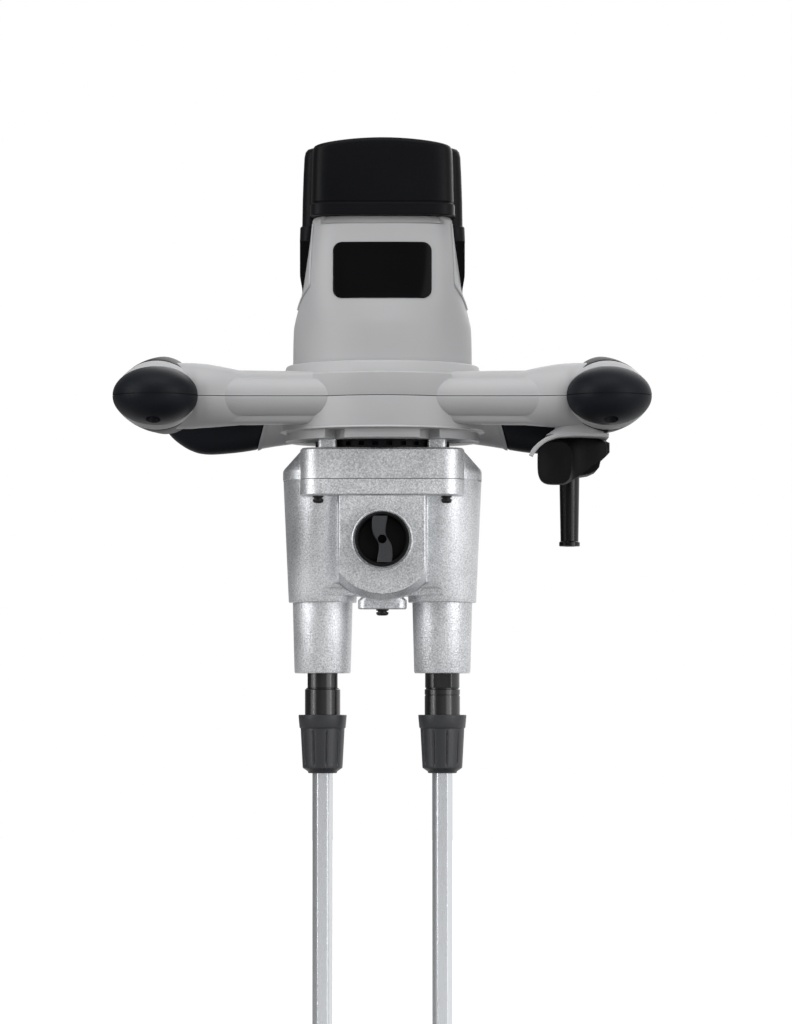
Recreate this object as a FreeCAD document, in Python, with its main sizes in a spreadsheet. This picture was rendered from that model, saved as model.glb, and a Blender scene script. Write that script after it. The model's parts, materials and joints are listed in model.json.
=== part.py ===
"""Two-paddle mixing drill: motor head, looped handle, gearbox, two chucks and two stirring paddles.

Millimetres, +Z up. The origin lies on the motor axis in the parting plane of the handle shells.
The selector knob faces -Y, and the trigger is under the +X grip.
"""
import FreeCAD, Part
import math
import os

import Sketcher

Vector = FreeCAD.Vector
ACROSS = Vector(1, 0, 0)
DEEP = Vector(0, 1, 0)
UP = Vector(0, 0, 1)
ZERO = Vector(0, 0, 0)

SIZES = {
    # Clearances and the overrun of every cut
    "overrun": 3.0,
    "running_gap": 0.05,
    "moving_gap": 0.4,
    "seam_gap": 0.5,
    # Gear train
    "drive_module": 1.5,
    "spindle_teeth": 24,
    "idler_teeth": 16,
    "second_module": 1.25,
    "second_gear_teeth": 32,
    "counter_pinion_teeth": 12,
    "first_module": 1.0,
    "first_gear_teeth": 40,
    "motor_pinion_teeth": 8,
    "gear_backlash": 0.12,
    "first_face": 11.0,
    "second_face": 13.0,
    "drive_face": 16.0,
    "gear_spacing": 2.5,
    "spindle_setback": 7.0,
    "counter_shaft_r": 4.0,
    "idler_shaft_r": 5.0,
    "journal_length": 8.0,
    "plate_thickness": 4.0,
    # Motor
    "motor_shaft_r": 5.0,
    "motor_shaft_rise": 170.0,
    "armature_base": 62.0,
    "armature_r": 25.0,
    "armature_height": 50.0,
    "winding_r": 22.0,
    "winding_height": 9.0,
    "commutator_base": 127.0,
    "commutator_r": 13.0,
    "commutator_height": 19.0,
    "fan_base": 33.0,
    "fan_r": 40.0,
    "fan_disc": 2.5,
    "fan_height": 13.0,
    "fan_hub_r": 12.0,
    "fan_blade_wall": 2.0,
    "fan_blades": 12,
    "stator_r": 43.0,
    "stator_bore_r": 26.0,
    "stator_overhang": 2.0,
    "coil_r": 39.0,
    "coil_wall": 11.0,
    "coil_height": 10.0,
    "brush_width": 6.5,
    "brush_height": 10.0,
    "brush_length": 13.0,
    "holder_wall": 1.2,
    "bracket_wall": 9.0,
    "rear_bearing_r": 11.0,
    "rear_bearing_height": 9.0,
    "front_bearing_r": 12.0,
    "front_bearing_height": 9.0,
    # Motor housing and its plates
    "housing_base": 24.4,
    "housing_foot_half": 62.6,
    "housing_foot_depth": 61.0,
    "housing_foot_height": 26.6,
    "housing_waist_half": 57.7,
    "housing_waist_depth": 54.0,
    "housing_waist_height": 22.0,
    "housing_top_half": 48.5,
    "housing_top_depth": 50.0,
    "housing_height": 101.6,
    "vent_slot_width": 82.0,
    "vent_slot_height": 4.5,
    "vent_slot_depth": 5.0,
    "front_plate_width": 67.0,
    "front_plate_height": 38.0,
    "front_plate_z": 87.0,
    "front_plate_corner": 5.0,
    "front_plate_proud": 0.7,
    "side_plate_width": 52.0,
    "side_plate_height": 40.0,
    # Motor cap
    "cap_panel_half": 49.5,
    "cap_panel_depth": 52.0,
    "cap_top_inset": 3.0,
    "cap_rise": 57.0,
    "cap_dome": 2.2,
    "cap_top_round": 6.0,
    "cap_lobe_half": 57.9,
    "cap_lobe_top_half": 54.6,
    "cap_lobe_width": 53.0,
    "cap_lobe_skirt": 13.0,
    "cap_lobe_drop": 8.5,
    "cap_lobe_round": 5.0,
    "cap_cavity_height": 30.0,
    "cap_screw_spread": 33.5,
    "cap_screw_head_r": 3.6,
    "cap_screw_r": 2.2,
    "cap_screw_length": 58.0,
    "cap_screw_sink": 9.0,
    "screw_head_height": 3.0,
    # Hub of the handle shells
    "hub_top_r": 68.0,
    "hub_shoulder_r": 70.4,
    "hub_shoulder_z": 16.2,
    "hub_r": 71.0,
    "hub_rim_drop": 22.0,
    "hub_lip": 0.8,
    "hub_band_r": 68.6,
    "hub_drop": 28.7,
    "hub_bore_r": 45.0,
    "hub_floor": 6.0,
    "notch_width": 11.0,
    "notch_depth": 4.0,
    "notch_offset": 33.0,
    # Handle loops
    "bar_front_y": -90.0,
    "bar_length": 157.0,
    "bar_front_x": 157.0,
    "bar_lean": 16.5,
    "ball_half_width": 30.0,
    "grip_rise": 30.0,
    "bar_drop": 20.6,
    "arm_root_x": 35.0,
    "arm_reach": 112.0,
    "front_arm_y": -38.0,
    "front_arm_sweep": 19.0,
    "front_arm_depth": 19.0,
    "front_arm_rise": 17.0,
    "rear_arm_y": 44.0,
    "rear_arm_sweep": 8.0,
    "rear_arm_depth": 15.0,
    "rear_arm_rise": 9.0,
    "rear_arm_drop": 34.0,
    "rubber_wall": 4.0,
    "rubber_inner_x": 126.0,
    "front_cap_back_y": -58.0,
    "front_rim_width": 6.0,
    "side_grip_back_y": 6.0,
    "rear_cap_front_y": 50.0,
    "arm_grip_start_x": 80.0,
    "arm_grip_width": 46.0,
    "handle_screw_r": 2.1,
    "handle_screw_head_r": 3.6,
    "handle_screw_length": 18.0,
    "handle_screw_sink": 7.0,
    # Switch housing, trigger and cord boot
    "guard_x": 134.0,
    "guard_half_width": 27.0,
    "guard_front_y": -55.0,
    "guard_length": 83.0,
    "guard_drop": 34.0,
    "guard_roof": 15.0,
    "guard_wall": 3.0,
    "guard_ceiling": 21.0,
    "guard_corner": 8.0,
    "trigger_width": 36.0,
    "trigger_front_y": -48.0,
    "trigger_length": 66.0,
    "trigger_top": -26.5,
    "trigger_belly": 16.0,
    "trigger_hook": 34.0,
    "trigger_hook_width": 14.0,
    "trigger_pin_r": 2.0,
    "trigger_pin_inset": 8.0,
    "trigger_pin_drop": 4.0,
    "trigger_spring_sink": 8.0,
    "trigger_spring_turns": 4,
    "trigger_spring_r": 4.5,
    "trigger_spring_wire": 1.2,
    "trigger_spring_y": -20.0,
    "block_x": 141.0,
    "block_half_width": 19.0,
    "block_front_y": 29.0,
    "block_length": 35.0,
    "block_bottom": -52.5,
    "block_wall": 3.0,
    "block_chamfer": 12.0,
    "switch_width": 13.0,
    "switch_height": 12.0,
    "boot_x": 133.0,
    "boot_y": 47.0,
    "boot_r": 7.2,
    "boot_tip_r": 6.4,
    "boot_bore_r": 4.0,
    "boot_length": 47.5,
    "boot_flange_height": 3.5,
    "boot_head_height": 4.0,
    "boot_head_r": 7.9,
    # Vented neck between hub and gearbox
    "neck_height": 5.9,
    "neck_r": 47.0,
    "neck_wall": 8.0,
    "neck_slots": 30,
    "neck_slot_width": 4.0,
    "neck_slot_depth": 4.0,
    "post_r": 4.5,
    "post_x": 40.0,
    "post_y": 24.0,
    # Gearbox casting
    "cover_height": 21.7,
    "cover_top_round": 14.0,
    "cover_shoulder_height": 15.0,
    "case_round": 27.5,
    "case_step_round": 23.8,
    "case_front_y": -38.0,
    "case_back_y": 38.0,
    "case_body_height": 84.7,
    "sleeve_r": 21.0,
    "sleeve_tip_r": 19.6,
    "sleeve_height": 49.5,
    "front_block_half": 57.0,
    "front_block_face": -45.0,
    "front_block_depth": 16.0,
    "front_block_drop": 11.7,
    "rear_post_y": 37.0,
    "rear_post_r": 7.5,
    "boss_half": 30.0,
    "boss_face": -47.0,
    "boss_bottom": 80.7,
    "boss_chamfer": 3.5,
    "case_wall": 4.0,
    "gearbox_screw_x": 44.5,
    "gearbox_screw_y": 38.0,
    "gearbox_screw_r": 2.6,
    "gearbox_screw_head_r": 3.6,
    "gearbox_screw_head": 4.0,
    "lug_half": 17.0,
    "lug_height": 5.0,
    "lug_depth": 14.0,
    "lug_screw_head_r": 4.5,
    "lug_screw_r": 2.5,
    "lug_screw_length": 12.0,
    # Selector knob, its rail and its fork
    "knob_drop": 42.4,
    "knob_r": 18.2,
    "knob_ring_r": 20.0,
    "knob_sink": 2.0,
    "knob_height": 16.5,
    "knob_rib_width": 9.5,
    "knob_rib_height": 9.0,
    "knob_hole_r": 3.0,
    "knob_shaft_r": 5.0,
    "knob_pin_offset": 4.0,
    "knob_pin_r": 2.0,
    "knob_pin_length": 5.0,
    "fork_width": 15.0,
    "fork_height": 7.0,
    "fork_depth": 9.0,
    "rail_r": 2.0,
    "rail_offset": 5.2,
    # Spindles, chucks and collars
    "spindle_journal_r": 6.0,
    "spindle_gear_seat_r": 8.0,
    "spindle_r": 10.0,
    "spindle_stub_r": 6.0,
    "spindle_stub_length": 12.0,
    "spindle_bearing_r": 17.0,
    "spindle_bearing_height": 14.0,
    "seal_r": 15.0,
    "seal_height": 8.0,
    "chuck_r": 12.4,
    "chuck_flats": 21.0,
    "chuck_neck_height": 9.8,
    "chuck_ring_height": 19.3,
    "chuck_body_height": 13.0,
    "chuck_nose_r": 9.2,
    "chuck_nose_height": 13.0,
    "socket_gap": 0.1,
    "collar_flange_r": 16.8,
    "collar_flange_height": 9.6,
    "collar_top_r": 15.4,
    "collar_low_r": 13.9,
    "collar_taper_height": 27.7,
    "collar_bevel_r": 9.7,
    "collar_bevel_height": 3.6,
    "collar_floor": 5.0,
    "collar_flutes": 12,
    "collar_flute_r": 2.2,
    "collar_travel": 8.0,
    "collar_spring_wire": 1.4,
    "collar_spring_turns": 4,
    # Rods and paddles
    "rod_flats": 12.5,
    "rod_length": 431.0,
    "rod_grip": 22.0,
    "paddle_r": 57.0,
    "paddle_height": 118.0,
    "paddle_strips": 3,
    "strip_width": 10.0,
    "strip_thickness": 3.0,
    "strip_twist": 130.0,
    "paddle_hub_r": 10.5,
    "paddle_hub_height": 12.0,
}

doc = FreeCAD.newDocument("two_paddle_mixer")
sheet = doc.addObject("Spreadsheet::Sheet", "sizes")
for row, (name, number) in enumerate(SIZES.items(), start=1):
    sheet.set(f"A{row}", name)
    sheet.set(f"B{row}", str(number))
    sheet.setAlias(f"B{row}", name)
doc.recompute()


class Formula(float):
    """A size that knows its number and the sheet formula behind it."""

    def __new__(cls, number, text):
        made = super().__new__(cls, number)
        made.text = text
        return made

    def __add__(self, other):
        return Formula(float(self) + float(other), f"({self.text} + {text_of(other)})")

    def __radd__(self, other):
        return Formula(float(other) + float(self), f"({text_of(other)} + {self.text})")

    def __sub__(self, other):
        return Formula(float(self) - float(other), f"({self.text} - {text_of(other)})")

    def __rsub__(self, other):
        return Formula(float(other) - float(self), f"({text_of(other)} - {self.text})")

    def __mul__(self, other):
        return Formula(float(self) * float(other), f"({self.text} * {text_of(other)})")

    def __rmul__(self, other):
        return Formula(float(other) * float(self), f"({text_of(other)} * {self.text})")

    def __truediv__(self, other):
        return Formula(float(self) / float(other), f"({self.text} / {text_of(other)})")

    def __neg__(self):
        return Formula(-float(self), f"(-1 * {self.text})")


def text_of(number):
    """Gives the sheet formula of a size, or the digits of a plain number."""
    return number.text if isinstance(number, Formula) else repr(float(number))


class Sheet:
    """Reads the sheet's cells as formulas, one attribute for each alias."""

    def __getattr__(self, name):
        return Formula(sheet.get(name), f"sizes.{name}")


s = Sheet()
pieces = []


def keep(piece):
    """Lists a document object as one of the pieces that are written out."""
    pieces.append(piece)
    return piece


def bind(target, path, size):
    """Binds a property to the formula of a size."""
    target.setExpression(path, text_of(size))


def place(target, x=0.0, y=0.0, z=0.0):
    """Binds the three parts of an object's position."""
    for letter, size in zip("xyz", (x, y, z)):
        bind(target, f"Placement.Base.{letter}", size)
    return target


def outline_sketch(body, plane_role, points):
    """Draws a closed outline whose corners are held at formulas in one of the body's own planes."""
    sketch = body.newObject("Sketcher::SketchObject", f"{body.Name}_outline")
    plane = next(feature for feature in body.Origin.OriginFeatures if feature.Role == plane_role)
    sketch.AttachmentSupport = [(plane, "")]
    sketch.MapMode = "FlatFace"
    count = len(points)
    for index, (start_x, start_y) in enumerate(points):
        end_x, end_y = points[(index + 1) % count]
        start = Vector(float(start_x), float(start_y), 0)
        end = Vector(float(end_x), float(end_y), 0)
        sketch.addGeometry(Part.LineSegment(start, end), False)
    for index in range(count):
        sketch.addConstraint(Sketcher.Constraint("Coincident", index, 2, (index + 1) % count, 1))
    for index, (across, up) in enumerate(points):
        for kind, size in (("DistanceX", across), ("DistanceY", up)):
            if not isinstance(size, Formula):
                axis = -2 if kind == "DistanceX" else -1
                sketch.addConstraint(Sketcher.Constraint("PointOnObject", index, 1, axis))
                continue
            number = sketch.addConstraint(Sketcher.Constraint(kind, -1, 1, index, 1, float(size)))
            sketch.setExpression(f"Constraints[{number}]", size.text)
    doc.recompute()
    return sketch


def turned(label, profile, x=0.0, y=0.0):
    """A turned piece: a half profile of (radius, height) spun about a vertical axis at (x, y)."""
    body = doc.addObject("PartDesign::Body", label)
    sketch = outline_sketch(body, "XZ_Plane", profile)
    spin = body.newObject("PartDesign::Revolution", f"{label}_spin")
    spin.Profile = sketch
    spin.ReferenceAxis = (sketch, ["V_Axis"])
    spin.Angle = 360
    body.Tip = spin
    place(body, x, y)
    doc.recompute()
    return body


def sleeve(label, outer, inner, low, high, x=0.0, y=0.0):
    """A plain round bush between two radii and two heights."""
    return turned(label, [(inner, low), (outer, low), (outer, high), (inner, high)], x, y)


def padded(label, plane_role, points, width, shift):
    """A flat outline given a width on both sides of its plane, then shifted along the plane's normal."""
    body = doc.addObject("PartDesign::Body", label)
    sketch = outline_sketch(body, plane_role, points)
    pad = body.newObject("PartDesign::Pad", f"{label}_pad")
    pad.Profile = sketch
    pad.Midplane = True
    bind(pad, "Length", width)
    body.Tip = pad
    place(body, *shift)
    doc.recompute()
    return body


def shaped(label, shape):
    """A piece whose form is worked out by the functions below from the sheet's sizes."""
    piece = doc.addObject("Part::Feature", label)
    piece.Shape = shape
    return keep(piece)


def less(label, base, tools):
    """A piece cut by a list of shapes."""
    return shaped(label, base.cut(tools).removeSplitter())


def carved(label, base, tools):
    """A turned piece with shapes cut out of it."""
    tool = doc.addObject("Part::Feature", f"{label}_cuts")
    tool.Shape = tools[0].fuse(tools[1:])
    cut = doc.addObject("Part::Cut", label)
    cut.Base = base
    cut.Tool = tool
    doc.recompute()
    return keep(cut)


def joined(label, base, tool_shape):
    """A turned piece with another form made in one with it."""
    tool = doc.addObject("Part::Feature", f"{label}_form")
    tool.Shape = tool_shape
    union = doc.addObject("Part::Fuse", label)
    union.Base = base
    union.Tool = tool
    doc.recompute()
    return keep(union)


def grouped(label, members):
    """Several like pieces under one name."""
    group = doc.addObject("Part::Compound", label)
    group.Links = members
    doc.recompute()
    return keep(group)


def rod_between(radius, start, end):
    """A plain round bar from one point to another."""
    return Part.makeCylinder(radius, (end - start).Length, start, end - start)


def upright(radius, x, y, low, high):
    """A plain vertical round bar."""
    return rod_between(radius, Vector(x, y, low), Vector(x, y, high))


def block(x_span, y_span, z_span):
    """A plain block between three pairs of limits."""
    low, high = (Vector(*corner) for corner in zip(x_span, y_span, z_span))
    return Part.makeBox(high.x - low.x, high.y - low.y, high.z - low.z, low)


def round_rectangle(centre, across, up, spans, radius):
    """A closed rectangle with round corners, in the plane of two directions through a centre."""
    (left, right), (low, high) = spans
    bend = radius * (1 - math.sqrt(0.5))

    def at(a, b):
        return centre + across * float(a) + up * float(b)

    edges = []
    corners = ((right, low, -1, 1), (right, high, -1, -1), (left, high, 1, -1), (left, low, 1, 1))
    ends = []
    for side, level, inward, lift in corners:
        flat = at(side + inward * radius, level)
        middle = at(side + inward * bend, level + lift * bend)
        tall = at(side, level + lift * radius)
        ends.append((flat, middle, tall) if inward * lift < 0 else (tall, middle, flat))
    for index, (first, middle, last) in enumerate(ends):
        before = ends[index - 1][2]
        edges.append(Part.LineSegment(before, first).toShape())
        edges.append(Part.Arc(first, middle, last).toShape())
    return Part.Wire(edges)


def level_outline(z, half, front, back, radius):
    """A round rectangle in a level plane."""
    return round_rectangle(Vector(0, 0, z), ACROSS, DEEP, ((-half, half), (front, back)), radius)


def prism(wire, direction):
    """A closed flat outline drawn out along a direction."""
    return Part.Face(wire).extrude(direction)


def mirrored(shape):
    """The same shape on the other side of the tool."""
    return shape.mirror(ZERO, ACROSS)


SPRING_STEPS = 10


def coil(x, y, low, high, radius, wire, turns):
    """A coil spring of square wire between two heights."""
    steps = int(turns) * SPRING_STEPS
    sections = []
    for number in range(steps + 1):
        turn = 2 * math.pi * number / SPRING_STEPS
        base = low + (high - low - wire) * number / steps
        outward = Vector(math.cos(turn), math.sin(turn), 0)
        near = Vector(x, y, base) + outward * (radius - wire / 2)
        far = Vector(x, y, base) + outward * (radius + wire / 2)
        corners = [near, far, far + UP * wire, near + UP * wire]
        sections.append(Part.makePolygon(corners + corners[:1]))
    return Part.makeLoft(sections, True, True)


def square_root(size):
    """The square root of a size, as a formula."""
    return Formula(math.sqrt(size), f"sqrt({size.text})")


HEX_SIDES = 6
PRESSURE_ANGLE = math.radians(20)
ADDENDUM_SHARE = 0.8
DEDENDUM_SHARE = 1.05
ROUND_SHARE = 0.96
FLUTE_SHARE = 0.6
FOOT_ROUND_SHARE = 0.93
WAIST_ROUND_SHARE = 0.72
TOP_ROUND_SHARE = 0.5
SIDE_TAPER_SHARE = 0.94
SIDE_RISE_SHARE = 0.3
LEVER_TAIL_SHARE = 0.6
LEVER_NECK_SHARE = 1.25
LEVER_NOSE_SHARE = 0.25
HEAD_ROOM_SHARE = 3
SCREW_INSET_SHARE = 0.33


def involute(angle):
    """The involute function of a pressure angle."""
    return math.tan(angle) - angle


def tip_radius(module, teeth):
    """The outside radius of a gear."""
    return module * teeth / 2 + module * ADDENDUM_SHARE


def gear(module, teeth, bore, span, centre, tooth_angle):
    """A spur gear with straight chords for its involute flanks; a bore of zero leaves it solid."""
    pitch_r = module * teeth / 2
    base_r = pitch_r * math.cos(PRESSURE_ANGLE)
    root_r = pitch_r - module * DEDENDUM_SHARE
    tip_r = tip_radius(module, teeth)

    def half_angle(radius):
        lean = math.acos(min(1, base_r / radius))
        half_pitch = math.pi / (2 * teeth) - s.gear_backlash / (2 * pitch_r)
        return half_pitch + involute(PRESSURE_ANGLE) - involute(lean)

    corners = []
    for number in range(int(teeth)):
        middle = tooth_angle + number * 2 * math.pi / teeth
        for radius, side in ((root_r, -1), (tip_r, -1), (tip_r, 1), (root_r, 1)):
            angle = middle + side * half_angle(radius)
            corners.append(centre + Vector(radius * math.cos(angle), radius * math.sin(angle), span[0]))
    wheel = prism(Part.makePolygon(corners + corners[:1]), UP * (span[1] - span[0]))
    if bore:
        wheel = wheel.cut(upright(bore, centre.x, centre.y, span[0] - s.overrun, span[1] + s.overrun))
    return wheel


def meshed_angle(tooth_angle, teeth, centre, other_teeth, other_centre):
    """The tooth angle that puts a gear in mesh with one whose tooth angle is known."""
    line = other_centre - centre
    direction = math.atan2(line.y, line.x)
    phase = (direction - tooth_angle) * teeth / (2 * math.pi)
    return direction + math.pi - (0.5 - phase) * 2 * math.pi / other_teeth


# Heights of the stack below the handle, from the hub's underside to the sleeves' ends
hub_bottom = -s.hub_drop
cover_top = hub_bottom - s.neck_height
parting = cover_top - s.cover_height
case_step = parting - s.case_body_height
sleeve_end = case_step - s.sleeve_height
first_top = parting - s.gear_spacing
first_low = first_top - s.first_face
second_top = first_low - s.gear_spacing
second_low = second_top - s.second_face
plate_top = second_low - s.gear_spacing
plate_low = plate_top - s.plate_thickness
drive_top = plate_low - s.gear_spacing
drive_low = drive_top - s.drive_face
pocket_floor = drive_low - s.gear_spacing
bearing_low = pocket_floor - s.spindle_bearing_height
seal_top = sleeve_end + s.seal_height
block_low = parting - s.front_block_drop
knob_z = parting - s.knob_drop
boss_low = parting - s.boss_bottom
journal_top = parting + s.journal_length
idler_foot = pocket_floor - s.journal_length

# Axes of the gear train, seen from above
idler_x = s.drive_module * s.idler_teeth / 2
spindle_x = s.drive_module * (s.spindle_teeth / 2 + s.idler_teeth)
spindle_y = s.spindle_setback
first_distance = s.first_module * (s.first_gear_teeth + s.motor_pinion_teeth) / 2
second_distance = s.second_module * (s.second_gear_teeth + s.counter_pinion_teeth) / 2
idler_square = idler_x * idler_x + spindle_y * spindle_y
idler_distance = square_root(idler_square)
first_square = first_distance * first_distance
second_square = second_distance * second_distance
along = (first_square - second_square + idler_square) / (2 * idler_distance)
beside = square_root(first_square - along * along)
counter_x = (along * idler_x + beside * spindle_y) / idler_distance
counter_y = (along * spindle_y - beside * idler_x) / idler_distance

motor_axis = ZERO
counter_axis = Vector(counter_x, counter_y, 0)
right_idler_axis = Vector(idler_x, spindle_y, 0)
left_idler_axis = Vector(-idler_x, spindle_y, 0)
right_spindle_axis = Vector(spindle_x, spindle_y, 0)
left_spindle_axis = Vector(-spindle_x, spindle_y, 0)


def build_gear_train():
    """Gears and their shafts: motor pinion, counter shaft, two idlers and two spindle gears."""
    motor_teeth = s.motor_pinion_teeth
    first_teeth = s.first_gear_teeth
    counter_teeth = s.counter_pinion_teeth
    second_teeth = s.second_gear_teeth
    first_span = (first_low, first_top)
    second_span = (second_low, second_top)
    drive_span = (drive_low, drive_top)
    first_angle = meshed_angle(0, motor_teeth, motor_axis, first_teeth, counter_axis)
    second_angle = meshed_angle(0, counter_teeth, counter_axis, second_teeth, right_idler_axis)
    shaped("first_gear", gear(s.first_module, first_teeth, s.counter_shaft_r, first_span,
                              counter_axis, first_angle))
    shaped("second_gear", gear(s.second_module, second_teeth, s.idler_shaft_r, second_span,
                               right_idler_axis, second_angle))
    left_angle = meshed_angle(0, s.idler_teeth, right_idler_axis, s.idler_teeth, left_idler_axis)
    for side, x, axis, far_axis, angle in (
            ("right", idler_x, right_idler_axis, right_spindle_axis, 0),
            ("left", -idler_x, left_idler_axis, left_spindle_axis, left_angle)):
        top = journal_top if side == "right" else plate_top
        arbor = turned(f"{side}_idler_arbor", [(0, idler_foot), (s.idler_shaft_r, idler_foot),
                                               (s.idler_shaft_r, top), (0, top)], x, spindle_y)
        joined(f"{side}_idler", arbor, gear(s.drive_module, s.idler_teeth, 0, drive_span, axis, angle))
        far_angle = meshed_angle(angle, s.idler_teeth, axis, s.spindle_teeth, far_axis)
        shaped(f"{side}_spindle_gear", gear(s.drive_module, s.spindle_teeth, s.spindle_gear_seat_r,
                                            drive_span, far_axis, far_angle))
    arbor = turned("counter_arbor", [(0, plate_low), (s.counter_shaft_r, plate_low),
                                     (s.counter_shaft_r, journal_top), (0, journal_top)],
                   counter_x, counter_y)
    joined("counter_shaft", arbor, gear(s.second_module, counter_teeth, 0, second_span, counter_axis, 0))
    arbor = turned("motor_arbor", [(0, first_top), (s.motor_shaft_r, first_top),
                                   (s.motor_shaft_r, s.motor_shaft_rise), (0, s.motor_shaft_rise)])
    joined("motor_shaft", arbor, gear(s.first_module, motor_teeth, 0, first_span, motor_axis, 0))


def build_spindles():
    """Stepped output spindles with their oil seals, and the bearings of spindles and motor."""
    stub_end = sleeve_end - s.spindle_stub_length
    profile = [(0, stub_end), (s.spindle_stub_r, stub_end), (s.spindle_stub_r, sleeve_end),
               (s.spindle_r, sleeve_end), (s.spindle_r, drive_low), (s.spindle_gear_seat_r, drive_low),
               (s.spindle_gear_seat_r, drive_top), (s.spindle_journal_r, drive_top),
               (s.spindle_journal_r, plate_top), (0, plate_top)]
    bore = s.spindle_r + s.running_gap
    bearings = []
    seals = []
    for side, x in (("left", -spindle_x), ("right", spindle_x)):
        keep(turned(f"{side}_spindle", profile, x, spindle_y))
        bearings.append(sleeve(f"{side}_spindle_race", s.spindle_bearing_r, bore, bearing_low, pocket_floor,
                               x, spindle_y))
        seals.append(sleeve(f"{side}_seal_ring", s.seal_r, bore, sleeve_end, seal_top, x, spindle_y))
    motor_bore = s.motor_shaft_r + s.running_gap
    bearings.append(sleeve("front_motor_race", s.front_bearing_r, motor_bore,
                           cover_top - s.front_bearing_height, cover_top))
    bearings.append(sleeve("rear_motor_race", s.rear_bearing_r, motor_bore, cavity_top,
                           cavity_top + s.rear_bearing_height))
    grouped("bearings", bearings)
    grouped("oil_seals", seals)


def case_outline(z, share):
    """The casting's level outline, from the parting plane (share 0) to the step above the sleeves (1)."""
    def between(first, last):
        return first + (last - first) * share

    half = spindle_x + between(s.case_round, s.case_step_round)
    front = between(s.case_front_y, spindle_y - s.case_step_round)
    back = between(s.case_back_y, spindle_y + s.case_step_round)
    radius = between(s.case_round, s.case_step_round) * ROUND_SHARE
    return level_outline(z, half, front, back, radius)


def front_block(low, high):
    """The thick flange across the casting's front, with its two rear screw posts."""
    face = s.front_block_face
    half = s.front_block_half
    corner = s.case_wall
    bar = prism(level_outline(low, half, face, face + s.front_block_depth, corner), UP * (high - low))
    posts = [upright(s.rear_post_r, x, s.rear_post_y, low, high)
             for x in (-s.gearbox_screw_x, s.gearbox_screw_x)]
    return bar.fuse(posts)


def gearbox_screw_places():
    """The four screws that hold the cover on the case."""
    front = -s.gearbox_screw_y
    return [(x, y) for x in (-s.gearbox_screw_x, s.gearbox_screw_x) for y in (front, s.rear_post_y)]


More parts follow.
